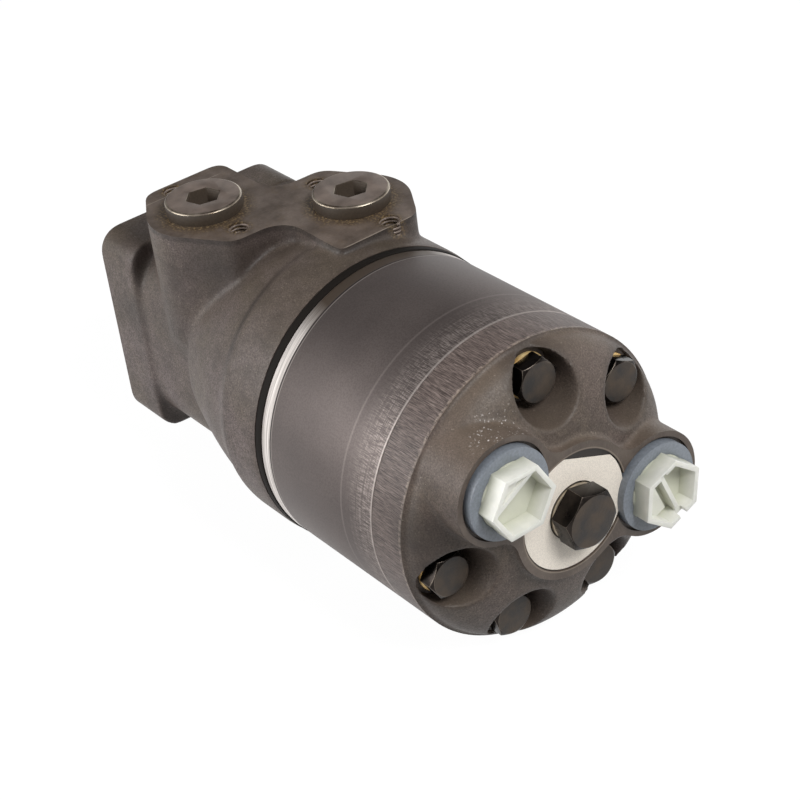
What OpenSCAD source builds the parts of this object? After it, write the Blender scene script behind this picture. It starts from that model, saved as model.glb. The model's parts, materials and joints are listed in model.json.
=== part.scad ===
// Orbital hydraulic motor: a roller gerotor set drives a spool-valve output shaft through a cardan shaft.
// X runs along the shaft from the mounting face to the rear cover, and Z points at the side ports.

/* [Mounting flange] */
// Side of the square mounting flange
flange_side = 71.6; // [71.2:0.1:75]
// Thickness of the mounting flange
flange_t = 19; // [17:0.5:22]
// Radius of the flange's four corners
flange_corner_r = 8; // [6:0.5:8]
// Diameter of the pilot spigot
pilot_d = 44.4; // [43:0.1:46]
// Height of the pilot spigot
pilot_h = 2.8; // [2:0.1:4]
// Bolt circle of the flange's four tapped holes
flange_pcd = 82.5; // [80:0.5:83]
// Tapping drill of the flange holes
flange_tap_d = 8.5; // [6.8:0.1:8.8]
// Depth of the flange holes
flange_tap_depth = 15; // [12:1:16]

/* [Housing] */
// Length of the cast housing from the mounting face to its rear face
housing_len = 104; // [102:0.5:108]
// Half width of the neck behind the flange
neck_half = 34.9; // [34:0.1:35.3]
// Radius of the neck's corners
neck_corner_r = 20; // [17:0.5:24]
// How far the housing's rear rim stands proud of the gear ring
rim_proud = 0.8; // [0.5:0.1:1.5]
// Distance from the mounting face to where the bell starts to flare
bell_start = 45; // [43:0.5:46]
// Radius at the front edge of the flare
bell_front_r = 38.6; // [38:0.1:39.5]
// Distance from the mounting face to the end of the flare
bell_end = 82; // [78:1:84]
// Height of the step from the flare up to the rim
rim_step = 2; // [1:0.1:3]
// Length of the step from the flare up to the rim
rim_step_len = 5; // [4:0.5:8]
// Edge break of the rear rim
rim_chamfer = 0.6; // [0.3:0.1:1]

/* [Side ports] */
// Height of the side port face above the housing's rear rim
port_rise = 2.2; // [1.6:0.1:4]
// Distance from the mounting face to the first side port
port_a_x = 42; // [41:0.5:44]
// Distance between the two side ports along the shaft
port_pitch = 33.4; // [32:0.2:34]
// Sideways offset of each side port from the shaft axis
port_side = 17.1; // [16.5:0.1:17.8]
// Radius of the round boss about each side port
port_boss_r = 18.9; // [18.5:0.1:20]
// Diameter of the threaded port bore
port_bore_d = 20.9; // [20:0.1:21.5]
// Depth of the threaded port bore
port_bore_depth = 16; // [15:0.5:18]
// Diameter of the passage from a side port to the spool bore
passage_d = 11; // [9:0.5:12]
// Distance of each small tapped hole from its port
port_bolt_offset = 19.1; // [18.5:0.1:19.4]
// Tapping drill of the port face holes
port_tap_d = 6.8; // [6:0.1:7]
// Depth of the port face holes
port_tap_depth = 13; // [11:0.5:14]
// Distance from the mounting face to the front edge of the port face
face_front_x = 18.4; // [17.4:0.1:18.6]
// Distance from the rear tapped hole to the rear edge of the port face
face_rear_wall = 3.6; // [3.5:0.1:5]
// Half width of the web that joins the two bosses
web_half = 4.5; // [3.5:0.5:6]

/* [Bolts and joints between the sections] */
// Radius of the bolt circle
bolt_circle_r = 38.8; // [38.4:0.1:39.2]
// Diameter of the cover bolts
bolt_d = 8; // [7:0.5:8]
// Width across flats of the bolt heads
bolt_head_af = 13; // [12:0.5:13]
// Height of the bolt heads
bolt_head_h = 5.3; // [5:0.1:6]
// Depth of the bolts' thread in the housing
bolt_reach = 20; // [18:1:22]
// Thickness of the washers under the bolt heads
washer_t = 1.2; // [1:0.1:1.6]
// Outer diameter of the bolt washers
washer_d = 14.2; // [13.8:0.1:14.6]
// Clearance of the bolt holes about the bolts
bolt_hole_gap = 0.3; // [0.2:0.05:0.4]
// Radius of the sealing rings between the sections
ring_seal_r = 46; // [45.6:0.1:46.2]
// Depth of the sealing ring grooves
ring_groove_depth = 1.5; // [1.3:0.1:1.8]

/* [Gear set] */
// Outer radius of the gear ring
gear_ring_r = 49; // [48.5:0.1:49.5]
// Width of the gear ring, which sets the displacement
gear_ring_w = 55; // [44:1:66]
// Radius of the circle on which the rollers sit
roller_circle_r = 32.5; // [32:0.1:32.8]
// Radius of each roller
roller_r = 6.5; // [6.3:0.1:6.7]
// Offset of the rotor's centre from the shaft axis
eccentricity = 2.9; // [2.7:0.05:3]
// Clearance between the rotor and the rollers
rotor_gap = 0.1; // [0.08:0.01:0.14]
// Radius at which the ring's wall stands between the rollers, past the rotor's reach
ring_wall_gap = 0.3; // [0.2:0.05:0.4]
// Thickness of the distributor plate
plate_t = 3; // [2.5:0.5:5]
// How far the distributor plate stands proud of the gear ring
plate_proud = 0.3; // [0.1:0.1:0.5]

/* [Shafts] */
// Diameter of the output shaft's end
shaft_d = 25; // [24.5:0.1:25.4]
// Length of the shaft end beyond the mounting face
shaft_reach = 42; // [40:1:44]
// Diameter of the spool valve on the output shaft
spool_d = 36; // [35:0.5:36.5]
// Radial running clearance of the spool and of the rollers in their pockets
running_gap = 0.04; // [0.03:0.01:0.06]
// Width of the shaft key
key_w = 8; // [7:0.5:8]
// Length of the shaft key
key_len = 28; // [24:1:30]
// Height of the shaft key
key_h = 7; // [6.5:0.5:7]
// Depth of the keyway in the shaft
keyway_depth = 4; // [3.5:0.1:4.2]
// Number of spline teeth on the cardan shaft
spline_teeth = 12; // [10:1:12]
// Outer radius of the cardan shaft's splines
spline_r = 10.5; // [10.2:0.1:10.6]
// Depth of the spline teeth
spline_depth = 1.8; // [1.6:0.1:2]
// Clearance about the cardan shaft's splines, in which it rocks
spline_gap = 0.35; // [0.3:0.05:0.45]
// Length of each spline head on the cardan shaft
spline_len = 14; // [12:1:15]
// Distance from the mounting face to the cardan shaft's front spline
cardan_front_x = 52; // [50:0.5:54]

/* [End cover] */
// Length of the cover's straight machined band
cover_band_len = 13; // [12:0.5:15]
// How far the cover's cast face lies inside the turned band
cover_face_inset = 1.2; // [0.8:0.1:1.6]
// Step along the shaft from the turned band to the cast face
cover_edge_step = 1.2; // [0.8:0.1:1.6]
// Height of the cover's cast dome
dome_h = 17; // [15:0.5:18]
// Distance from the cover's front face to the flat face round its rear ports
cover_depth = 32; // [31:0.5:34]
// Radius of the plateau at the cover's centre
plateau_r = 22; // [21:0.2:22.6]
// Radius of the circle on which the rear ports sit
rear_port_circle_r = 31.3; // [31:0.1:31.5]
// Radius of each rear port boss
rear_boss_r = 17; // [16.6:0.1:17.2]
// Radius of the fillets between the plateau and the bosses
rear_fillet_r = 8; // [6:0.5:9]
// Depth of the round recess at the plateau's centre
label_recess_depth = 0.6; // [0.4:0.1:0.8]
// Radius of the round recess at the plateau's centre
label_recess_r = 19.3; // [18.5:0.1:19.5]
// Radius of the bolt pockets at their floor
pocket_r = 8.4; // [8:0.1:8.6]
// Height of the bolt pockets' walls
pocket_h = 20; // [18:1:24]
// How far the bolt pockets widen over their height
pocket_flare = 5; // [3:0.5:6]

/* [Plugs] */
// Diameter of the steel plugs' collar
plug_collar_d = 25; // [24:0.1:26]
// Height of the steel plugs' collar
plug_collar_h = 4.6; // [4:0.1:5]
// Width across flats of the steel plugs' socket
plug_socket_af = 10; // [9:0.5:11]
// Depth of the steel plugs' socket
plug_socket_depth = 7; // [6:0.5:8]
// Length of the plugs' threaded shank
plug_shank_len = 11; // [10:0.5:12]
// Width across flats of the drain plug's head
drain_head_af = 17; // [16:0.5:17]
// Height of the drain plug's head
drain_head_h = 7.1; // [6.5:0.1:8]
// Diameter of the drain plug's thread
drain_d = 13.2; // [12:0.1:13.6]
// Diameter of the drain plug's washer
drain_washer_d = 17.8; // [17.6:0.1:18.4]
// Radius of the plastic plugs' hexagon, across its corners
cap_hex_r = 11.5; // [11:0.1:12]
// Height of the plastic plugs' hexagon
cap_hex_h = 6.2; // [5.5:0.1:8]
// Wall of the plastic plugs' hexagon
cap_wall = 2; // [1.6:0.1:2.2]
// Radius of the seal discs under the plastic plugs
disc_r = 14.2; // [13.8:0.1:14.4]
// Thickness of the seal discs
disc_t = 3.6; // [3:0.1:4]
// Depth of the spot faces round the rear ports
spot_depth = 1.5; // [1.2:0.1:2]

/* [Hidden] */
$fn = 96;

// Angles are measured about the shaft axis from the port side, towards +Y
bolt_positions = 7;
bolt_step = 360 / bolt_positions;
bolt_slots = [0, 1, 3, 4, 5];
gallery_slots = [2, 6];
rotor_lobes = bolt_positions - 1;
port_b_x = port_a_x + port_pitch;

// Outer radii of the sections, which follow the gear ring
rim_r = gear_ring_r + rim_proud;
plate_r = gear_ring_r + plate_proud;
cover_face_r = gear_ring_r - cover_face_inset;
port_face_z = rim_r + port_rise;

// Stack along the shaft
plate_x = housing_len;
ring_x = plate_x + plate_t;
cover_x = ring_x + gear_ring_w;
cover_edge_x = cover_x + cover_band_len;
cover_face_x = cover_x + cover_depth;
bolt_seat_x = cover_edge_x + cover_edge_step;
label_x = cover_face_x - label_recess_depth;
spot_x = cover_face_x - spot_depth;

// Small sizes that several pieces share
thread_gap = 0.05;
face_gap = 0.03;
edge_break = 0.5;
spool_r = spool_d / 2;
seal_step = 0.1;
bore_r = spool_r + running_gap;
bolt_hole_r = bolt_d / 2 + bolt_hole_gap;
groove_w = 2.4;
chamber_port_r = 3;
chamber_port_circle_r = roller_circle_r - 4;

// Shaft seals and thrust bearing, from the front
dust_seal_r = shaft_d / 2 + 6.5;
dust_seal_len = 3.5;
shaft_seal_r = spool_r - seal_step;
shaft_seal_len = 7;
seal_seat_x = dust_seal_len + shaft_seal_len - pilot_h + 1;
land_len = 3;
race_x = seal_seat_x + land_len;
race_t = 1;
needle_t = 3;
needle_count = 18;
spool_x = race_x + race_t + needle_t;
spool_end_gap = 0.4;
shaft_clear = 1;
shaft_tap_d = 6.8;
shaft_tap_depth = 18;
port_mid_x = (port_a_x + port_b_x) / 2;
annulus_depth = 3.5;
annulus_w = 10;
timing_port_r = 2.2;

// Rear ports
rear_port_angles = [-51.1, 102.5];

// Check valves, between the bolts at the bottom of the housing's rear face
check_slots = [2.5, 4.5];
check_circle_r = 34;
check_bore_r = 4;
check_depth = 20;
check_ball_r = 3.6;
check_seat_r = 2.4;
check_travel = 1;
check_nose_r = 1.5;
check_collar_len = 6;

// Cardan shaft
cardan_rear_x = ring_x + gear_ring_w / 2 - 4;
cardan_span = cardan_rear_x - cardan_front_x;
cardan_tilt = atan(eccentricity / cardan_span);
cardan_waist_r = 7.6;
spacer_t = 7;
spacer_r = 12.6;
spacer_gap = 0.3;

// A sketch in Y and Z, raised along X
module along_x(x) {
    translate([x, 0, 0])
        rotate([90, 0, 90])
            children();
}

// A place on a circle about the shaft axis, in the sketch's own plane
function around(r, angle) = [r * sin(angle), r * cos(angle)];

module at_angle(r, angle) {
    translate(around(r, angle))
        children();
}

module at_slots(r, slots) {
    for (slot = slots)
        at_angle(r, slot * bolt_step)
            children();
}

module disc(r, h) {
    cylinder(h = h, r = r);
}

module ring(r_out, r_in, h) {
    difference() {
        disc(r_out, h);
        translate([0, 0, -1])
            disc(r_in, h + 2);
    }
}

module hexagon(across_flats, h) {
    cylinder(h = h, r = across_flats / sqrt(3), $fn = 6);
}

// Corners of an outline rounded by arcs: each corner is [x, y, radius]
function unit(v) = v / norm(v);
function corner_arc(before, corner, after, steps) =
    let (
        here = [corner[0], corner[1]],
        back = unit([before[0], before[1]] - here),
        ahead = unit([after[0], after[1]] - here),
        half = acos(max(-1, min(1, back * ahead))) / 2,
        run = corner[2] / tan(half),
        centre = here + unit(back + ahead) * corner[2] / sin(half),
        from_angle = atan2((here + back * run - centre)[1], (here + back * run - centre)[0]),
        to_angle = atan2((here + ahead * run - centre)[1], (here + ahead * run - centre)[0]),
        turn = to_angle - from_angle,
        swing = turn > 180 ? turn - 360 : turn < -180 ? turn + 360 : turn
    )
    [for (i = [0:steps]) centre + corner[2] * [cos(from_angle + swing * i / steps),
                                               sin(from_angle + swing * i / steps)]];
function rounded(corners, steps = 8) = [
    for (i = [0:len(corners) - 1])
        each corner_arc(corners[(i + len(corners) - 1) % len(corners)], corners[i],
                        corners[(i + 1) % len(corners)], steps)
];

function square_outline(side, r) = rounded([
    [side / 2, side / 2, r], [-side / 2, side / 2, r], [-side / 2, -side / 2, r], [side / 2, -side / 2, r]
]);

// Outline of the side port face: two bosses joined corner to corner by a web
boss_slope = 0.6;
boss_reach = 26;
boss_corner_r = 6.5;
web_fillet_r = 9;
function face_outline() =
    let (
        tip = port_side + port_boss_r * sqrt(1 + boss_slope * boss_slope),
        front = face_front_x,
        rear = port_b_x + port_bolt_offset + face_rear_wall,
        a_end = port_a_x + boss_reach,
        b_end = port_b_x - boss_reach
    )
    rounded([
        [front, web_half, 4],
        [front, -tip + boss_slope * (port_a_x - front), boss_corner_r],
        [port_a_x, -tip, port_boss_r],
        [a_end, -tip + boss_slope * boss_reach, boss_corner_r],
        [a_end, -web_half, web_fillet_r],
        [rear, -web_half, 2],
        [rear, tip - boss_slope * (rear - port_b_x), boss_corner_r],
        [port_b_x, tip, port_boss_r],
        [b_end, tip - boss_slope * boss_reach, boss_corner_r],
        [b_end, web_half, web_fillet_r]
    ]);

// Housing: flange, neck, bell and port block in one casting
bell_front_len = 5;
bell_steps = 10;
function bell_r(t) = bell_front_r + (rim_r - rim_step - bell_front_r) * (0.6 * t + 0.4 * sin(90 * t));
function bell_x(t) = bell_start + bell_front_len + (bell_end - bell_start - bell_front_len) * t;

// The port block: straight walls, whose foot leans in until it runs out inside the round neck
block_foot_z = 2;
block_lean_z = 18;
module port_block() {
    side = port_side + port_boss_r + 2;
    intersection() {
        linear_extrude(port_face_z)
            polygon(face_outline());
        along_x(0)
            linear_extrude(housing_len)
                polygon([
                    [1 - neck_half, block_foot_z], [neck_half - 1, block_foot_z], [side, block_lean_z + 4],
                    [side, port_face_z + 1], [-side, port_face_z + 1], [-side, block_lean_z + 4]
                ]);
    }
}

module housing_casting() {
    along_x(0)
        linear_extrude(flange_t)
            polygon(square_outline(flange_side, flange_corner_r));
    along_x(1)
        linear_extrude(bell_end - bell_start + flange_t)
            polygon(square_outline(2 * neck_half, neck_corner_r));
    along_x(0)
        rotate_extrude()
            polygon(concat(
                [[0, 1], [neck_half - 0.5, 1], [neck_half - 0.5, bell_start]],
                [for (i = [0:bell_steps]) [bell_r(i / bell_steps), bell_x(i / bell_steps)]],
                [[rim_r, bell_end + rim_step_len], [rim_r, housing_len - rim_chamfer],
                 [rim_r - rim_chamfer, housing_len], [0, housing_len]]
            ));
    port_block();
    along_x(-pilot_h)
        disc(pilot_d / 2, pilot_h + 1);
}

module housing_bores() {
    along_x(-pilot_h - 1)
        disc(dust_seal_r, dust_seal_len + 1);
    along_x(-pilot_h)
        disc(shaft_seal_r, seal_seat_x + pilot_h);
    along_x(0)
        disc(shaft_d / 2 + shaft_clear, housing_len);
    along_x(race_x)
        disc(bore_r, housing_len);
    for (x = [port_a_x, port_b_x])
        along_x(x - annulus_w / 2)
            disc(spool_r + annulus_depth, annulus_w);
}

// Passages from the rear face to the windows in the spool bore, one to each chamber of the gear set
module chamber_passages() {
    start_x = port_mid_x - timing_port_r - 1.5;
    window_from_r = spool_r - spool_groove_depth - 1;
    along_x(start_x)
        at_slots(chamber_port_circle_r, [0:bolt_positions - 1])
            disc(chamber_port_r, housing_len - start_x + 1);
    for (slot = [0:bolt_positions - 1])
        rotate([-slot * bolt_step, 0, 0])
            translate([port_mid_x, 0, window_from_r])
                disc(timing_port_r, chamber_port_circle_r - window_from_r + 1);
}

module flange_holes() {
    for (angle = [45:90:315])
        along_x(-1)
            at_angle(flange_pcd / 2, angle)
                disc(flange_tap_d / 2, flange_tap_depth + 1);
}

module side_port(x, y) {
    translate([x, y, port_face_z - port_bore_depth])
        disc(port_bore_d / 2, port_bore_depth + 1);
    bottom = port_face_z - port_bore_depth;
    translate([x, 0, 0])
        rotate([-atan2(y, bottom), 0, 0])
            disc(passage_d / 2, norm([y, bottom]) + 2);
    for (side = [-1, 1])
        translate([x + side * port_bolt_offset, y, port_face_z - port_tap_depth])
            disc(port_tap_d / 2, port_tap_depth + 1);
}

module ring_groove(x) {
    along_x(x)
        ring(ring_seal_r + groove_w / 2, ring_seal_r - groove_w / 2, ring_groove_depth);
}

module check_bore(slot) {
    along_x(housing_len - check_depth)
        at_angle(check_circle_r, slot * bolt_step) {
            disc(check_bore_r, check_depth + 1);
            translate([0, 0, -6])
                disc(check_seat_r, 7);
        }
}

module housing() {
    color("dimgray")
        difference() {
            housing_casting();
            housing_bores();
            flange_holes();
            side_port(port_a_x, -port_side);
            side_port(port_b_x, port_side);
            along_x(housing_len - bolt_reach - 4)
                at_slots(bolt_circle_r, [0:bolt_positions - 1])
                    disc(bolt_d / 2 + thread_gap, bolt_reach + 5);
            chamber_passages();
            ring_groove(housing_len - ring_groove_depth + 0.001);
            for (slot = check_slots)
                check_bore(slot);
        }
}

// Seals and thrust bearing
module lip_seal(r_out, length, lip) {
    rotate_extrude()
        polygon([
            [shaft_d / 2 + face_gap, length * 0.35], [shaft_d / 2 + face_gap, length * 0.5],
            [shaft_d / 2 + lip, length], [shaft_d / 2 + lip + 0.8, length],
            [shaft_d / 2 + 2.4, length * 0.4], [r_out - 1.2, length * 0.4], [r_out - 1.2, length],
            [r_out - thread_gap, length], [r_out - thread_gap, 0], [shaft_d / 2 + 1, 0]
        ]);
}

module dust_seal() {
    color("black")
        along_x(-pilot_h)
            lip_seal(dust_seal_r, dust_seal_len, 0.4);
}

module shaft_seal() {
    color("black")
        along_x(dust_seal_len - pilot_h + 1)
            lip_seal(shaft_seal_r, shaft_seal_len, 1.2);
}

module thrust_race() {
    color("silver")
        along_x(race_x)
            ring(spool_r - face_gap, shaft_d / 2 + shaft_clear, race_t);
}

module thrust_needles() {
    cage_t = 1.2;
    cage_in = shaft_d / 2 + shaft_clear;
    cage_out = spool_r - 0.4;
    needle_r = needle_t / 2 - face_gap;
    color("silver") {
        along_x(race_x + race_t + (needle_t - cage_t) / 2)
            ring(cage_out, cage_in, cage_t);
        along_x(race_x + race_t + needle_t / 2)
            for (i = [0:needle_count - 1])
                rotate([0, 0, i * 360 / needle_count])
                    translate([cage_in + 0.5, 0, 0])
                        rotate([0, 90, 0])
                            cylinder(h = cage_out - cage_in - 1, r = needle_r, $fn = 24);
    }
}

// Splines
spline_fill = 0.5;
function spline_outline(r_out, depth, grow) =
    let (step = 360 / spline_teeth, root = r_out - depth,
         half = step * spline_fill / 2 + grow * 180 / (PI * r_out))
    [for (i = [0:spline_teeth - 1])
        for (k = [[root, -step / 2], [root, -half - 1.5], [r_out, -half + 1.5], [r_out, 0],
                  [r_out, half - 1.5], [root, half + 1.5]])
            (k[0] + grow) * [cos(i * step + k[1]), sin(i * step + k[1])]];

module spline_hole(length) {
    linear_extrude(length)
        polygon(spline_outline(spline_r, spline_depth, spline_gap));
}

// Output shaft with its spool valve
spool_groove_w = 10;
spool_groove_depth = 3;
slot_w = 5;
shaft_bore_r = 11.6;
module output_shaft() {
    spool_end = housing_len - spool_end_gap;
    color("silver")
        difference() {
            along_x(0)
                rotate_extrude()
                    polygon([
                        [0, -shaft_reach], [shaft_d / 2 - 1, -shaft_reach], [shaft_d / 2, 1 - shaft_reach],
                        [shaft_d / 2, spool_x], [spool_r - edge_break, spool_x], [spool_r, spool_x + edge_break],
                        [spool_r, spool_end - edge_break], [spool_r - edge_break, spool_end], [0, spool_end]
                    ]);
            for (x = [port_a_x, port_b_x])
                along_x(x - spool_groove_w / 2)
                    ring(spool_r + 1, spool_r - spool_groove_depth, spool_groove_w);
            for (i = [0:rotor_lobes - 1]) {
                valve_slot(i * 360 / rotor_lobes, port_a_x, port_mid_x + timing_port_r);
                valve_slot((i + 0.5) * 360 / rotor_lobes, port_mid_x - timing_port_r, port_b_x);
            }
            along_x(cardan_front_x - spline_len / 2 - 2)
                spline_hole(spline_len + 4);
            along_x(cardan_front_x - spline_len / 2 - 8)
                disc(shaft_bore_r, 6.1);
            along_x(cardan_front_x + spline_len / 2 + 1.9)
                disc(shaft_bore_r, housing_len);
            along_x(-shaft_reach - 1)
                disc(shaft_tap_d / 2, shaft_tap_depth + 1);
            keyway();
        }
}

module valve_slot(angle, x_from, x_to) {
    rotate([angle, 0, 0])
        translate([x_from, -slot_w / 2, spool_r - spool_groove_depth])
            cube([x_to - x_from, slot_w, spool_groove_depth + 1]);
}

module key_outline(w) {
    translate([0, -w / 2])
        square([key_len - key_w, w]);
    for (x = [0, key_len - key_w])
        translate([x, 0])
            circle(d = w);
}

// The keyway lies opposite the side ports
key_from_x = 5 + key_w / 2 - shaft_reach;
module keyway() {
    translate([key_from_x, 0, -shaft_d / 2 - 1])
        linear_extrude(keyway_depth + 1)
            key_outline(key_w + 2 * face_gap);
}

module shaft_key() {
    color("gray")
        translate([key_from_x, 0, keyway_depth - face_gap - shaft_d / 2 - key_h])
            linear_extrude(key_h)
                key_outline(key_w);
}

// Check valves
module check_ball(slot) {
    drop = sqrt(pow(check_ball_r, 2) - pow(check_seat_r, 2));
    color("silver")
        along_x(housing_len - check_depth + drop + 0.06)
            at_angle(check_circle_r, slot * bolt_step)
                sphere(r = check_ball_r, $fn = 48);
}

module check_ball_a() {
    check_ball(check_slots[0]);
}

module check_ball_b() {
    check_ball(check_slots[1]);
}

// A slotted collar behind each ball, whose nose stops it
module check_stops() {
    drop = sqrt(pow(check_ball_r, 2) - pow(check_seat_r, 2));
    nose_x = housing_len - check_depth + drop + check_ball_r + check_travel + 0.2;
    collar_x = housing_len - check_collar_len;
    color("gray")
        for (slot = check_slots)
            difference() {
                union() {
                    along_x(collar_x)
                        at_angle(check_circle_r, slot * bolt_step)
                            disc(check_bore_r - thread_gap, check_collar_len - face_gap);
                    along_x(nose_x)
                        at_angle(check_circle_r, slot * bolt_step)
                            disc(check_nose_r, collar_x - nose_x + 1);
                }
                along_x(collar_x + 2)
                    at_angle(check_circle_r, slot * bolt_step)
                        translate([-check_bore_r - 1, -1, 0])
                            cube([2 * check_bore_r + 2, 2, check_collar_len]);
            }
}

// Sealing rings between the sections
module seal_ring(x) {
    color("black")
        along_x(x + ring_groove_depth / 2)
            rotate_extrude()
                translate([ring_seal_r, 0])
                    circle(r = ring_groove_depth / 2 - face_gap, $fn = 24);
}

module seal_ring_front() {
    seal_ring(housing_len - ring_groove_depth);
}

module seal_ring_middle() {
    seal_ring(ring_x);
}

module seal_ring_rear() {
    seal_ring(cover_x);
}

module distributor_plate() {
    color("black")
        along_x(plate_x)
            linear_extrude(plate_t)
                difference() {
                    circle(r = plate_r);
                    circle(r = shaft_bore_r + 1.2);
                    at_slots(bolt_circle_r, [0:bolt_positions - 1])
                        circle(r = bolt_hole_r, $fn = 48);
                    at_slots(chamber_port_circle_r, [0:bolt_positions - 1])
                        circle(r = chamber_port_r, $fn = 48);
                }
}

// Gear set: a ring with rollers as its teeth, and a rotor with one lobe fewer
pocket_gap = running_gap;
module gear_ring() {
    wall_r = roller_circle_r - roller_r + 2 * eccentricity + ring_wall_gap;
    color("silver")
        difference() {
            along_x(ring_x)
                linear_extrude(gear_ring_w)
                    difference() {
                        circle(r = gear_ring_r);
                        circle(r = wall_r);
                        at_slots(roller_circle_r, [0.5:bolt_positions - 0.5])
                            circle(r = roller_r + pocket_gap);
                        at_slots(bolt_circle_r, [0:bolt_positions - 1])
                            circle(r = bolt_hole_r, $fn = 48);
                    }
            ring_groove(ring_x - 0.001);
        }
}

module roller(number) {
    color("silver")
        along_x(ring_x + face_gap)
            at_angle(roller_circle_r, (number - 0.5) * bolt_step)
                disc(roller_r, gear_ring_w - 2 * face_gap);
}

module roller_1() {
    roller(1);
}

module roller_2() {
    roller(2);
}

module roller_3() {
    roller(3);
}

module roller_4() {
    roller(4);
}

module roller_5() {
    roller(5);
}

module roller_6() {
    roller(6);
}

module roller_7() {
    roller(7);
}

// The rotor's outline lies one roller radius inside the path that a roller's centre takes round it
rotor_steps = 180;
function roller_path(t) = roller_circle_r * [cos(t), sin(t)]
    - eccentricity * [cos(bolt_positions * t), sin(bolt_positions * t)];
function path_heading(t) = unit(roller_circle_r * [-sin(t), cos(t)]
    - eccentricity * bolt_positions * [-sin(bolt_positions * t), cos(bolt_positions * t)]);
function rotor_point(t) =
    let (heading = path_heading(t))
    roller_path(t) + (roller_r + rotor_gap) * [-heading[1], heading[0]];

module rotor() {
    depth = gear_ring_w - 2 * face_gap;
    rear_pocket = spacer_t + 2;
    front_pocket = cardan_rear_x - ring_x - spline_len / 2 - 2;
    color("gray")
        along_x(ring_x + face_gap)
            translate([0, eccentricity, 0])
                difference() {
                    linear_extrude(depth)
                        polygon([for (i = [0:rotor_steps - 1]) rotor_point(i * 360 / rotor_steps)]);
                    translate([0, 0, -1])
                        spline_hole(depth + 2);
                    translate([0, 0, -1])
                        disc(spacer_r + spacer_gap, front_pocket + 1);
                    translate([0, 0, depth - rear_pocket])
                        disc(spacer_r + spacer_gap, rear_pocket + 1);
                }
}

module cardan_spacer() {
    color("gray")
        along_x(cover_x - face_gap - spacer_t)
            translate([0, eccentricity, 0])
                disc(spacer_r, spacer_t);
}

// Cardan shaft: two crowned spline heads on a slim waist, tilted by the rotor's offset
module spline_head() {
    crown = 0.3;
    intersection() {
        translate([0, 0, -spline_len / 2])
            linear_extrude(spline_len)
                polygon(spline_outline(spline_r, spline_depth, 0));
        rotate_extrude()
            polygon([
                [0, -spline_len / 2], [spline_r - 1.2, -spline_len / 2],
                [spline_r - crown, -spline_len / 2 + 1], [spline_r + 0.01, 0],
                [spline_r - crown, spline_len / 2 - 1], [spline_r - 1.2, spline_len / 2], [0, spline_len / 2]
            ]);
    }
}

module cardan_shaft() {
    span = norm([cardan_span, eccentricity]);
    tail = cover_x - 2 * face_gap - spacer_t - cardan_rear_x - 0.4;
    color("dimgray")
        translate([cardan_front_x, 0, 0])
            rotate([0, -cardan_tilt, 0])
                along_x(0) {
                    spline_head();
                    translate([0, 0, span])
                        spline_head();
                    translate([0, 0, -spline_len / 2 - 3])
                        disc(cardan_waist_r, span + tail + spline_len / 2 + 3);
                }
}

// End cover: a machined band, a cast dome with bolt pockets, and a bow-tie plateau for the rear ports
dome_steps = 12;
module cover_fillets() {
    for (port = [0, 1])
        for (side = [-1, 1])
            let (
                span = rear_port_circle_r,
                near = plateau_r + rear_fillet_r,
                far = rear_boss_r + rear_fillet_r,
                lean = acos((near * near + span * span - far * far) / (2 * near * span)),
                spot = around(near, rear_port_angles[port] + side * lean)
            )
            difference() {
                polygon([[0, 0], around(span, rear_port_angles[port]), spot]);
                translate(spot)
                    circle(r = rear_fillet_r);
            }
}

module cover_casting() {
    along_x(0)
        rotate_extrude()
            polygon(concat(
                [[0, cover_x], [gear_ring_r, cover_x], [gear_ring_r, cover_edge_x]],
                [for (i = [0:dome_steps])
                    let (t = 90 * i / dome_steps)
                    [cover_face_r * cos(t), bolt_seat_x + dome_h * sin(t)]]
            ));
    along_x(cover_x + 1) {
        linear_extrude(cover_depth - 1) {
            circle(r = plateau_r);
            cover_fillets();
        }
        for (angle = rear_port_angles)
            at_angle(rear_port_circle_r, angle)
                disc(rear_boss_r, cover_depth - 1);
    }
}

module end_cover() {
    shank_hole = plug_shank_len + 5;
    color("dimgray")
        difference() {
            cover_casting();
            along_x(cover_x - 1)
                at_slots(bolt_circle_r, bolt_slots)
                    disc(bolt_hole_r, cover_depth);
            along_x(cover_x - 1)
                at_slots(bolt_circle_r, gallery_slots)
                    disc(bolt_hole_r, cover_band_len + 3);
            along_x(bolt_seat_x)
                at_slots(bolt_circle_r, bolt_slots)
                    cylinder(h = pocket_h, r1 = pocket_r, r2 = pocket_r + pocket_flare);
            along_x(label_x)
                disc(label_recess_r, label_recess_depth + 1);
            along_x(label_x - plug_shank_len - 3)
                disc(drain_d / 2 + thread_gap, plug_shank_len + 4);
            for (angle = rear_port_angles) {
                along_x(spot_x)
                    at_angle(rear_port_circle_r, angle)
                        disc(disc_r + 1, spot_depth + 1);
                along_x(spot_x - shank_hole)
                    at_angle(rear_port_circle_r, angle)
                        disc(port_bore_d / 2, shank_hole + 1);
            }
            ring_groove(cover_x - 0.001);
        }
}

// Bolts and washers
module cover_bolts() {
    head_x = bolt_seat_x + washer_t;
    color([0.12, 0.11, 0.1])
        along_x(head_x)
            at_slots(bolt_circle_r, bolt_slots) {
                bolt_head(bolt_head_af, bolt_head_h);
                translate([0, 0, housing_len - bolt_reach - head_x])
                    disc(bolt_d / 2, head_x - housing_len + bolt_reach + 0.5);
            }
}

// A hexagon whose outer corners are turned off
module bolt_head(across_flats, h) {
    corner_r = across_flats / sqrt(3);
    intersection() {
        hexagon(across_flats, h);
        rotate_extrude()
            polygon([[0, 0], [corner_r + 1, 0], [corner_r + 1, h - 1.6], [across_flats / 2 - 0.3, h], [0, h]]);
    }
}

module bolt_washers() {
    color([0.75, 0.6, 0.3])
        along_x(bolt_seat_x)
            at_slots(bolt_circle_r, bolt_slots)
                ring(washer_d / 2, bolt_d / 2 + 0.2, washer_t);
}

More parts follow.
